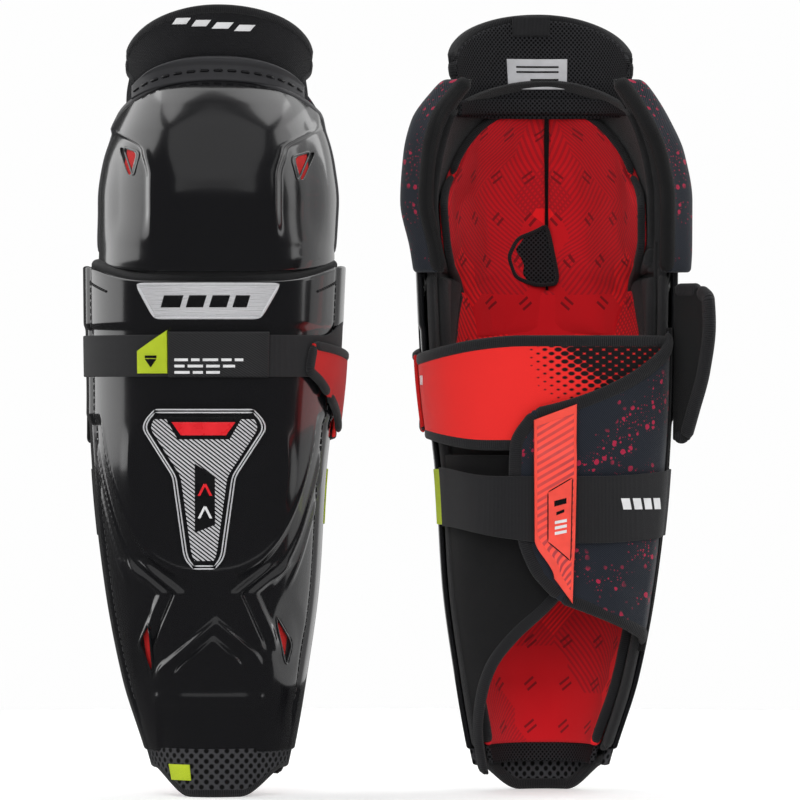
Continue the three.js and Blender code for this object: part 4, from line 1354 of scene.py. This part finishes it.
build("hang_loop_look", sheet_arrays(loop_at, 16, 8, 0.8), ELASTIC, "thigh_flap",
      ["hang_loop"])
lining_top = lambda u: flap_top(u) - 3
lining_at = panel(THIGH, lambda v: -mix(88, 72, smooth(v, 0.2, 0.8)),
                  lambda v: mix(88, 76, smooth(v, 0.2, 0.8)), 428, lining_top, (-8.2, -5.4))
for piece in build("thigh_lining", sheet_arrays(lining_at, 60, 40, 1.6), MESH, None):
    guard = piece.name[:7]
    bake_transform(piece)
fold_at = panel(THIGH, -86, 86, lambda u: 431 - 3 * (2 * u - 1) ** 2,
                lambda u: 441 - 3 * (2 * u - 1) ** 2, (-11.5, -8))
build("knee_top_fold", sheet_arrays(fold_at, 50, 8, 2.0), MESH, "knee")
label_at = panel(THIGH, -15, 25, 447, 466.5, (-9.4, -8.3))
rows = []
for low, end in ((460.8, 19), (457.6, 19), (452.6, 10)):
    row_at = panel(THIGH, -9, end, low, low + 1.2, (-9.7, -9.2))
    rows.append(sheet_arrays(row_at, 8, 2, 0.15))
labels = build("size_label", sheet_arrays(label_at, 20, 8, 0.3), LABEL, None)
labels += build("size_label_lines", join_arrays(rows), BLACK_ENAMEL, None)
for piece in labels:
    guard = piece.name[:7]
    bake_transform(piece)
bars = []
for start, end in ((-24, -15), (-12, -3), (0, 9), (12, 21)):
    bar_at = panel(THIGH, lambda v, s=start: s + 3 * v, lambda v, e=end: e + 3 * v,
                   lambda u, s=start: 480.5 - 0.12 * (s + 2), lambda u, s=start: 484.5 - 0.12 * (s + 2),
                   (-2.6, -2.0))
    bars.append(sheet_arrays(bar_at, 6, 4, 0.2))
build("flap_bars", join_arrays(bars), WHITE_ENAMEL, "thigh_flap")


# %% [markdown]
# ## Nameplate and badge
# The plate is a silver trapezoid in a bright frame. Where a maker would put a name there are
# plain bars. The badge is a black shield with slanting silver lines, a double silver outline,
# a red bar and a dark inset with two plain arrowheads.

# %% Nameplate
plate_at = panel(SHIN, lambda v: -mix(25, 34, v), lambda v: mix(22, 31, v), 299.5, 320.5,
                 (0.9, 2.6))
build("nameplate_look", sheet_arrays(plate_at, 40, 12, 0.8), SILVER, "shin",
      ["nameplate"])
frame_lines = [sweep(*edge_of(plate_at, u, v, depth=1.0), 1.8, 1.4)
               for u, v in (((0, 1), (1, 1)), ((1, 0), (0, 0)), ((0, 0), (0, 1)), ((1, 1), (1, 0)))]
build("nameplate_frame", join_arrays(frame_lines), SILVER, "shin")
bars = []
for start, end in ((0.2, 0.34), (0.38, 0.5), (0.54, 0.66), (0.7, 0.8)):
    bar_at = panel(SHIN, lambda v, s=start: mix(-33, 30, s) - 1.6 * (1 - v),
                   lambda v, e=end: mix(-33, 30, e) - 1.6 * (1 - v), 306, 313.5, (2.4, 3.1))
    bars.append(sheet_arrays(bar_at, 8, 4, 0.4))
build("nameplate_bars", join_arrays(bars), BLACK_ENAMEL, "shin")


# %% Badge
badge_half = lambda z: np.interp(z, [143.5, 147, 152, 201, 231, 238, 242.5],
                                 [5.5, 9.5, 11.6, 18.0, 36.0, 33.0, 28.0])
BADGE_X = -3.8


def badge_panel(grow, low, high, layer):
    """The badge's outline: x = middle +- half width(z), both grown by the same distance."""
    z0, z1 = 143.5, 242.5
    zs = np.linspace(z0, z1, 80)
    wide = np.convolve(np.pad(badge_half(zs), 2, "edge"), np.ones(5) / 5, "valid")

    def half(v):
        return np.interp(mix(z0, z1, mix(low, high, v)), zs, wide) + grow

    def height(v):
        return mix(z0, z1, mix(low, high, v))

    return panel(SHIN, lambda v: angle_at(SHIN, BADGE_X - half(v), height(v)),
                 lambda v: angle_at(SHIN, BADGE_X + half(v), height(v)),
                 height(0), height(1), layer)


badge_base = badge_panel(0, 0, 1, (3.9, 5.2))
build("badge_look", sheet_arrays(badge_base, 40, 80, 0.7), BLACK_ENAMEL, "shin",
      ["badge"])
badge_field = badge_panel(-4.4, 0.05, 0.94, (5.0, 5.6))
build("badge_field", sheet_arrays(badge_field, 40, 80, 0.4), BADGE, "shin")
lines = []
for grow, low, high in ((0, 0, 1), (-1.7, 0.018, 0.982)):
    line_at = badge_panel(grow, low, high, (4.4, 5.5))
    for u, v in (((0, 1), (1, 1)), ((1, 0), (0, 0)), ((0, 0), (0, 1)), ((1, 1), (1, 0))):
        lines.append(sweep(*edge_of(line_at, u, v, depth=1.0, step=1.6), 0.95, 0.8))
build("badge_outline", join_arrays(lines), SILVER, "shin")


def shin_patch(x0, x1, z0, z1, layer, lean=0.0, taper=0.0):
    """A small four-sided plate: x from x0 to x1, leaning or tapering with height."""
    def left(v):
        return angle_at(SHIN, x0 + lean * v - taper * v, mix(z0, z1, v))

    def right(v):
        return angle_at(SHIN, x1 + lean * v + taper * v, mix(z0, z1, v))

    return panel(SHIN, left, right, z0, z1, layer)


around_bar = shin_patch(-19, 11, 224, 238, (5.1, 5.75), taper=7.5)
build("badge_bar_ground", sheet_arrays(around_bar, 20, 6, 0.3), BLACK_ENAMEL, "shin")
red_bar = shin_patch(-17, 9, 226.5, 234.8, (5.6, 6.6), taper=5.4)
build("badge_red_bar", sheet_arrays(red_bar, 30, 6, 0.8), RED_ENAMEL, "shin")
inset = panel(SHIN, lambda v: angle_at(SHIN, -9.0, mix(168, 207, v)),
              lambda v: angle_at(SHIN, 2.6, mix(168, 207, v)),
              lambda u: 166 + 5 * u, lambda u: 209 - 8 * u, (5.5, 6.1))
build("badge_inset", sheet_arrays(inset, 12, 30, 0.4), BLACK_ENAMEL, "shin")
for z, finish, label in ((189, RED_ENAMEL, "upper"), (175, WHITE_ENAMEL, "lower")):
    heads = [sheet_arrays(shin_patch(-3.9 + 3.4 * s, -2.3 + 3.4 * s, z, z + 7.5, (5.9, 6.6),
                                     lean=-3.4 * s), 4, 8, 0.3) for s in (-1, 1)]
    build(f"badge_arrow_{label}", join_arrays(heads), finish, "shin")

# %% [markdown]
# ## Front strap, tag, patch and hook tab
# The strap is elastic that lies on the shell and rises a little at its inner end, where the
# red hook tab grips it. The tab is the front end of the calf wrap.


# %% Front strap
def strap_lift(u):
    return 9 * smooth(u, 0.86, 1)


strap_at = panel(SHIN, -SHELL_EDGE + 3, 84, lambda u: STRAP_BOTTOM + strap_lift(u),
                 lambda u: STRAP_TOP + strap_lift(u), (1.3, 2.9))
build("front_strap_look", sheet_arrays(strap_at, 110, 14, 0.7), ELASTIC, "shin",
      ["front_strap"])
tag_at = panel(SHIN, -33.5, -18.8, STRAP_BOTTOM + 2, lambda u: STRAP_BOTTOM + 16 + 13 * u,
               (2.9, 4.1))
build("strap_tag_look", sheet_arrays(tag_at, 12, 12, 0.4), NEON, "shin", ["strap_tag"])
mark = shin_patch(-35.5, -35.3, STRAP_BOTTOM + 6, STRAP_BOTTOM + 11, (4.0, 4.5), taper=3.4)
mark_top = shin_patch(-38.9, -31.9, STRAP_BOTTOM + 11.6, STRAP_BOTTOM + 13.2, (4.0, 4.5))
build("strap_tag_mark", join_arrays([sheet_arrays(mark, 6, 6, 0.1),
                                     sheet_arrays(mark_top, 6, 3, 0.1)]),
      BLACK_ENAMEL, "shin")
patch_at = panel(SHIN, -18.3, 26, STRAP_BOTTOM - 0.5, STRAP_TOP + 2, (2.9, 5.0))
build("strap_patch_look", sheet_arrays(patch_at, 40, 18, 1.0), PATCH, "shin",
      ["strap_patch"])
words = []
for row, lengths in ((272.6, (8, 5, 9, 6, 5)), (268.7, (6, 9, 8, 7)), (264.8, (9, 6, 8))):
    start = -21.0
    for length in lengths:
        word = shin_patch(start, start + length, row, row + 1.7, (4.9, 5.25))
        words.append(sheet_arrays(word, 4, 2, 0.15))
        start += length + 1.8
build("patch_lines", join_arrays(words), WHITE_ENAMEL, "shin")

# %% Hook tab
tab_start = curve((0, 63), (0.25, 55), (0.5, 47), (1, 49))
tab_at = panel(SHIN, tab_start, 88, lambda u: 251 - 23 * u, lambda u: 284 - 7 * u,
               (3.9, 6.5))
tab_pieces = build("hook_tab_look", sheet_arrays(tab_at, 40, 20, 1.2), RED_CLOTH, None,
                   ["hook_tab"])
edges = [binding(tab_at, u, v, 6.0, 4.6, 1.8)
         for u, v in (((0, 0), (0, 1)), ((0, 1), (0, 0)), ((0, 1), (1, 1)))]
tab_pieces += build("hook_tab_tape", join_arrays(edges), TAPE, None)
for piece in tab_pieces:
    guard = piece.name[:7]
    ends = to_world(leg_point(SHIN, np.array([88.0, 80.0]), np.array([253.0, 253.0]), 4.0), guard)
    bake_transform(piece)

# %% [markdown]
# ## Calf wrap
# One red band in life. It is built as one piece over the free part and the anchored part,
# with black tape along both long edges.


# %% Calf wrap
WRAP_HINGE = back_angle(0.36)


def wrap_top(angle):
    return WRAP_TOP - 11 * (1 - smooth(angle, 90, 170))


def wrap_bottom(angle):
    return WRAP_BOTTOM + 7 * (1 - smooth(angle, 90, 150))


def wrap_panel(start, end):
    def layer(u, v, angle, z):
        dip = 5 * smooth(angle, 236, 256)
        return 1.2 - dip, 3.7 - dip

    return panel(SHIN, start, end, lambda u: wrap_bottom(mix(start, end, u)),
                 lambda u: wrap_top(mix(start, end, u)), layer)


wrap_at = wrap_panel(87, 257)
points, quads, uv = sheet_arrays(wrap_at, 110, 30, 1.0)
wrap_pieces = build("calf_wrap_look", (points, quads, uv), WRAP, None,
                    ["calf_wrap", "calf_wrap_anchor"], lies_on=["shin_shell"])
edges = [binding(wrap_at, (0, 1), (1, 1), 7.5, 4.2, 1.0),
         binding(wrap_at, (0, 1), (0, 0), 7.5, 4.2, 1.0)]
wrap_pieces += build("calf_wrap_tape", join_arrays(edges), TAPE, None)
lines = []
for n in range(2):
    bar_at = panel(SHIN, lambda v, s=n: 97 + 3.2 * s + 1.6 * v, lambda v, s=n: 98.4 + 3.2 * s + 1.6 * v,
                   258, 264, (3.6, 4.1))
    lines.append(sheet_arrays(bar_at, 3, 6, 0.15))
wrap_pieces += build("calf_wrap_mark", join_arrays(lines), WHITE_ENAMEL, None)
for piece in wrap_pieces:
    guard = piece.name[:7]
    ends = to_world(leg_point(SHIN, np.array([WRAP_HINGE + 3, WRAP_HINGE - 3]),
                              np.array([253.0, 253.0]), 2.0), guard)
    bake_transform(piece)

# %% [markdown]
# ## Calf flap, keeper and lower strap
# The flap is splashed twill with a few soft folds and a ribbed tape round its free edge. The
# lower strap lies over it, through the coral keeper, and comes down to the shell's edge where
# a neon tab ends it.

# %% Calf flap
CALF_ROOT = 251
flap_edge = curve((0, back_angle(-0.08)), (0.16, back_angle(0.15)), (0.32, back_angle(0.25)),
                  (0.6, back_angle(0.32)), (0.82, back_angle(0.3)), (1, back_angle(0.13)))


def root_dip(angle):
    """How far the flap sinks towards the shell's edge at its sewn side."""
    return 5.5 * smooth(angle, 236, CALF_ROOT)


def flap_layer(u, v, angle, z):
    """Soft folds that lean with the strap's pull, standing outwards only."""
    fold = np.sin(u * 9 + v * 5) * np.sin(v * 11 - u * 4)
    crease = bump(v - 0.42 - 0.1 * u, 0, 0.02) + bump(v - 0.2 + 0.05 * u, 0, 0.025)
    edge = (16 * u * (1 - u) * v * (1 - v)) ** 0.5
    lift = (1.2 * fold - 1.0 * crease) * edge - root_dip(angle)
    return 4.9 + lift, 7.9 + lift


calf_flap_at = panel(SHIN, flap_edge, CALF_ROOT, lambda u: mix(123, 94, u),
                     lambda u: mix(242, 292, 0.35 * u + 0.65 * u**1.8), flap_layer)
build("calf_flap_look", sheet_arrays(calf_flap_at, 90, 110, 1.4), TWILL, "calf_flap",
      ["calf_flap"], lies_on=["calf_wrap", "calf_wrap_anchor"])
edges = [binding(calf_flap_at, (0, 0), (0, 1), 8.5, 5.0, 1.5),
         binding(calf_flap_at, (0, 1), (1, 1), 8.5, 5.0, 1.5),
         binding(calf_flap_at, (0, 1), (0, 0), 8.5, 5.0, 1.5)]
build("calf_flap_tape", join_arrays(edges), TAPE, "calf_flap")
root_at = panel(SHIN, CALF_ROOT - 2, 262, 90, 294, lambda u, v, a, z: (
    mix(1.5, -7, smooth(u, 0.1, 0.9)), mix(3.5, -4, smooth(u, 0.1, 0.9))))
for piece in build("calf_flap_root", sheet_arrays(root_at, 12, 50, 0.8), WING, None):
    guard = piece.name[:7]
    ends = to_world(leg_point(SHIN, np.array([261.0, 252.0]), np.array([200.0, 200.0]), -1.0), guard)
    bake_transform(piece)


# %% Lower strap
def lower_layer(u, v, angle, z):
    low = mix(1.2, 9.1, smooth(angle, 118, 156)) - 8.0 * smooth(angle, 236, 256)
    return low, low + 1.6


def strap_part(start, end):
    def share(u):
        return (mix(start, end, u) - 110) / 152

    return panel(SHIN, start, end,
                 lambda u: LOWER_BOTTOM + 8 - 10 * smooth(share(u), 0, 0.5)
                 + 4 * smooth(share(u), 0.6, 1),
                 lambda u: LOWER_TOP + 1 - 5 * smooth(share(u), 0, 0.3)
                 + 4 * smooth(share(u), 0.6, 1), lower_layer)


build("lower_strap_look", sheet_arrays(strap_part(110, 249.3), 120, 20, 0.7), ELASTIC,
      "calf_flap", ["lower_strap"])
for piece in build("lower_strap_root", sheet_arrays(strap_part(248.8, 261), 16, 20, 0.7),
                   ELASTIC, None):
    guard = piece.name[:7]
    ends = to_world(leg_point(SHIN, np.array([261.0, 252.0]), np.array([183.0, 183.0]), -1.0),
                    guard)
    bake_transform(piece)
neon_at = panel(SHIN, 99, 111.5, LOWER_BOTTOM + 9, LOWER_TOP, (0.6, 2.4))
build("lower_strap_tag_look", sheet_arrays(neon_at, 10, 20, 0.5), NEON, "calf_flap",
      ["lower_strap_tag"])
bars = []
for n in range(4):
    bar_at = panel(SHIN, lambda v, s=n: 214.5 + 6.2 * s - 1.6 * v, lambda v, s=n: 219 + 6.2 * s - 1.6 * v,
                   180, 187, lambda u, v, a, z: (lower_layer(u, v, a, z)[1] - 0.1,
                                                 lower_layer(u, v, a, z)[1] + 0.35))
    bars.append(sheet_arrays(bar_at, 4, 4, 0.15))
build("lower_strap_bars", join_arrays(bars), WHITE_ENAMEL, "calf_flap")

# %% Strap keeper
def keeper_layer(u, v, angle, z):
    over = smooth(z, LOWER_BOTTOM - 18, LOWER_BOTTOM - 5) * (1 - smooth(z, LOWER_TOP + 5,
                                                                       LOWER_TOP + 18))
    return 9.1 + 2.8 * over, 11.6 + 2.8 * over


keeper_at = panel(SHIN, lambda v: mix(back_angle(-0.04), back_angle(0.12), smooth(v, 0, 0.25)),
                  back_angle(-0.2), lambda u: mix(137, 121, u), lambda u: 236 + 10 * u,
                  keeper_layer)
build("strap_keeper_look", sheet_arrays(keeper_at, 20, 70, 1.0), CORAL, "calf_flap",
      ["strap_keeper"])


def on_keeper(start, end, bottom, top, low, high):
    """A thin panel lying on the keeper, between two shares of the back's half width."""
    def layer(u, v, angle, z):
        base = keeper_layer(u, v, angle, z)[1]
        return base + low, base + high

    return panel(SHIN, start, end, bottom, top, layer)


field_at = on_keeper(lambda v: mix(back_angle(-0.085), back_angle(0.095), smooth(v, 0, 0.28)),
                     back_angle(-0.178), lambda u: mix(141, 129, u), lambda u: 232 + 8 * u,
                     -0.3, 0.3)
build("keeper_field", sheet_arrays(field_at, 20, 70, 0.3), KEEPER, "calf_flap")
plain_at = on_keeper(back_angle(0.012), back_angle(-0.166), lambda u: 160 - 12 * u,
                     lambda u: 191 + 9 * u, 0.1, 0.75)
build("keeper_inset", sheet_arrays(plain_at, 14, 30, 0.3), CORAL, "calf_flap")
lines = [sweep(*edge_of(plain_at, u, v, depth=1.0, step=1.5), 0.7, 0.5)
         for u, v in (((0, 1), (1, 1)), ((1, 0), (0, 0)), ((0, 0), (0, 1)), ((1, 1), (1, 0)))]
for start, end, low, high in ((-0.035, -0.125, 182, 185.5), (-0.05, -0.11, 176.5, 178.5)):
    bar_at = on_keeper(back_angle(start), back_angle(end), lambda u, z=low: z + 2 * u,
                       lambda u, z=high: z + 2 * u, 0.7, 1.0)
    lines.append(sheet_arrays(bar_at, 4, 3, 0.15))
build("keeper_lines", join_arrays(lines), BLACK_ENAMEL, "calf_flap")
bars = []
for low in (171, 167.6, 164.2):
    bar_at = on_keeper(back_angle(-0.04), back_angle(-0.13), lambda u, z=low: z + 1.5 * u,
                       lambda u, z=low: z + 1.9 + 1.5 * u, 0.7, 1.0)
    bars.append(sheet_arrays(bar_at, 4, 3, 0.15))
build("keeper_bars", join_arrays(bars), WHITE_ENAMEL, "calf_flap")

# %% [markdown]
# ## Wings
# The inner wing is plain black cloth that sweeps from the shell's inner edge to the middle
# of the calf. The outer wing is a padded ear with ribbed tape.

# %% Inner wing
wing_edge = curve((0, 114), (0.1, 116), (0.23, back_angle(0.78)), (0.33, back_angle(0.62)),
                  (0.43, back_angle(0.33)), (0.53, back_angle(-0.03)), (0.65, back_angle(-0.3)),
                  (1, back_angle(-0.42)))


def wing_layer(u, v, angle, z):
    """Lies flat at its sewn edge, with a shallow hollow towards the calf."""
    hollow = 1.6 * np.sin(math.pi * u) * np.sin(math.pi * v)
    return -7.2 - hollow, -4.2 - hollow


header_at = panel(SHIN, 104, lambda v: wing_edge(mix(0.88, 1, v)), 200, 226, (-11.6, -9.4))
build("wing_header", sheet_arrays(header_at, 50, 10, 0.8), WING, "shin")
wing_at = panel(SHIN, 105.5, wing_edge, 12, 214, wing_layer)
build("inner_wing_look", sheet_arrays(wing_at, 60, 70, 1.2), WING, "inner_wing",
      ["inner_wing"], lies_on=["shin_shell"])
build("inner_wing_tape", binding(wing_at, (1, 1), (0, 1), 7.5, 4.8, 1.0), TAPE, "inner_wing")

# %% Outer wing
WING_SPREAD = {"guard_a": -4, "guard_b": 44}
wing_length = curve((0, 0.28), (0.2, 0.5), (0.45, 0.8), (0.75, 1), (0.92, 0.95), (1, 0.6))
wing_low, wing_high = WRAP_BOTTOM + 5, SHIN_LENGTH - 13
wing_outer = float(SHIN(np.array((wing_low + wing_high) / 2))[0])


def outer_wing_at(u, v, depth):
    """A flat ear carried back from the shell's outer edge, curling slightly inwards."""
    u, v, depth = np.broadcast_arrays(*(np.asarray(a, float) for a in (u, v, depth)))
    along = 43 * wing_length(v) * u
    x = -wing_outer + 3.5 - 5 * depth + 0.006 * along**2
    return np.stack([x, 11 + along, mix(wing_low, wing_high, v)], -1)


def open_wing(points, guard):
    turn = math.radians(WING_SPREAD[guard])
    pivot = np.array([-wing_outer, 9, 0])
    c, s = math.cos(turn), math.sin(turn)
    p = points - pivot
    x, y = p[:, 0] * c - p[:, 1] * s, p[:, 0] * s + p[:, 1] * c
    return np.stack([x, y, p[:, 2]], -1) + pivot


build("outer_wing_look", sheet_arrays(outer_wing_at, 24, 50, 2.2, crown=0.1), WING,
      "outer_wing", ["outer_wing"], pose=open_wing)
edges = [binding(outer_wing_at, (1, 1), (0, 1), 9, 6.5, 2.0),
         binding(outer_wing_at, (0, 1), (1, 1), 9, 6.5, 2.0),
         binding(outer_wing_at, (0, 1), (0, 0), 9, 6.5, 2.0)]
build("outer_wing_tape", join_arrays(edges), TAPE, "outer_wing", pose=open_wing)

# %% [markdown]
# ## Ankle cuff
# A dark spacer-mesh cuff hangs below the shell, with a black lip and a small neon label.


# %% Ankle cuff
def cuff_bottom(u):
    return 17 * smooth(np.abs(2 * u - 1), 0.3, 0.8)


cuff_at = panel(SHIN, -86, 86, lambda u: cuff_bottom(u) + 0.5, SHELL_BOTTOM + 3, (-5.9, -0.9))
build("ankle_cuff_look", sheet_arrays(cuff_at, 80, 16, 1.8), CUFF_MESH, "shin",
      ["ankle_cuff"])
lip = binding(cuff_at, (0, 1), (0, 0), 7, 6.4, 0.5)
build("ankle_cuff_lip", lip, TAPE, "shin")
label_at = panel(SHIN, -42, -20, 10.5, 20.5, (-1.1, -0.1))
build("cuff_label", sheet_arrays(label_at, 14, 8, 0.3), NEON, "shin")

# %% Shell stitching
rows = []
for side in (-1, 1):
    zs = np.linspace(62, 322, 140)
    angle = side * groove_angle(zs)
    flat = leg_point(SHIN, angle, zs, 0.0)
    lift = shin_relief(angle, zs, flat)
    path = leg_point(SHIN, angle, zs, lift)
    rows.append(stitches(path, path - leg_point(SHIN, angle, zs, lift - 4), 4.4, 3.4, 0.85, 0.15))
    angle = side * np.linspace(groove_angle(323) - 0.5, groove_angle(323) - 18, 30)
    zs = np.linspace(323, 316.5, 30)
    flat = leg_point(SHIN, angle, zs, 0.0)
    lift = shin_relief(angle, zs, flat)
    path = leg_point(SHIN, angle, zs, lift)
    rows.append(stitches(path, path - leg_point(SHIN, angle, zs, lift - 4), 2.6, 2.0, 0.8, 0.2))
build("shell_stitches", join_arrays(rows), THREAD, "shin")

# %% [markdown]
# ## Stage, light and camera
# The pair is seen straight on through a long lens, as on a catalogue page. Two tall soft
# lights beside the pair draw the long pale strips on the gloss shells; the world stays dim so
# that the rest of the gloss stays dark. A pale round floor is below, and straight to the camera the world
# shows as a pale backdrop.

# %% Stage
turn = np.linspace(0, 2 * math.pi, 96, endpoint=False)
floor_points = np.stack([1.25 * np.cos(turn), 1.25 * np.sin(turn), 0 * turn], -1)
floor_mesh = bpy.data.meshes.new("floor")
floor_mesh.from_pydata(floor_points.tolist(), [], [list(range(96))])
floor_material, tree, shader, cloth, place = start_finish("pale_floor", (0.86, 0.86, 0.86), 0.7)
cloud = use(tree, wear, Vector=place, Scale=2.0)["Value"]
tone = blend_colour(tree, cloud, (0.84, 0.84, 0.84, 1), (0.88, 0.88, 0.88, 1))
link(tree, tone, shader, "Base Color")
shader.inputs["Emission Color"].default_value = (1, 1, 1, 1)
shader.inputs["Emission Strength"].default_value = 0.36
floor_mesh.materials.append(floor_material)
floor = bpy.data.objects.new("floor", floor_mesh)
floor.visible_glossy = False
bpy.context.scene.collection.objects.link(floor)

# %% Lights
world = bpy.data.worlds.new("studio") if not bpy.context.scene.world else bpy.context.scene.world
bpy.context.scene.world = world
world.use_nodes = True
sky = world.node_tree
put(sky, "ShaderNodeLightPath")
seen = maths(sky, "MULTIPLY", sky.nodes[-1].outputs["Is Camera Ray"], 0.93)
sky.nodes["Background"].inputs[0].default_value = (1.0, 1.0, 1.0, 1)
sky.links.new(maths(sky, "ADD", seen, 0.06), sky.nodes["Background"].inputs[1])


def soft_light(name, place, target, size, glow, in_gloss=True):
    """A soft box with the given brightness per area: power = glow x pi x area."""
    data = bpy.data.lights.new(name, "AREA")
    data.shape = "RECTANGLE"
    data.size, data.size_y = size
    data.energy = glow * math.pi * size[0] * size[1]
    lamp = bpy.data.objects.new(name, data)
    lamp.location = place
    aim = np.array(target) - np.array(place)
    lamp.rotation_euler = (
        math.atan2(math.hypot(aim[0], aim[1]), -aim[2]),
        0,
        math.atan2(aim[1], aim[0]) - math.pi / 2,
    )
    lamp.visible_glossy = in_gloss
    bpy.context.scene.collection.objects.link(lamp)
    return lamp


soft_light("left_box", (-1.3, 0.55, 0.85), (0, 0.1, 0.5), (1.5, 1.5), 1.5)
soft_light("right_box", (1.3, 0.55, 0.85), (0, 0.1, 0.5), (1.5, 1.5), 1.5)
soft_light("top_box", (0, 0.3, 1.7), (0, 0, 0.3), (2.6, 1.1), 1.8)
soft_light("front_top_panel", (0, -2.6, 2.7), (0, 0, 0.4), (8.0, 4.4), 0.42)
soft_light("front_fill", (0, -2.4, 1.3), (0, 0, 0.25), (3.2, 2.2), 2.1, in_gloss=False)
soft_light("back_fill", (0, 2.6, 1.6), (0, 0, 0.25), (3.0, 1.6), 0.5, in_gloss=False)
for label, way in (("left", -1), ("right", 1)):
    lamp = soft_light(f"between_{label}", (-0.012, 0.1, 0.26), (-0.012 + way, 0.1, 0.26),
                      (0.3, 0.4), 0.6)
    lamp.visible_camera = False
    lamp.visible_diffuse = False

# %% Camera
camera_data = bpy.data.cameras.new("catalogue_camera")
camera_data.lens = 320
camera_data.sensor_width = 36
camera_data.clip_end = 60
view_width = 0.506
distance = view_width / camera_data.sensor_width * camera_data.lens
camera = bpy.data.objects.new("catalogue_camera", camera_data)
camera.location = (0.006, -distance, 0.2485)
camera.rotation_euler = (math.radians(90), 0, 0)
bpy.context.scene.collection.objects.link(camera)
bpy.context.scene.camera = camera
bpy.context.scene.view_settings.view_transform = "Standard"
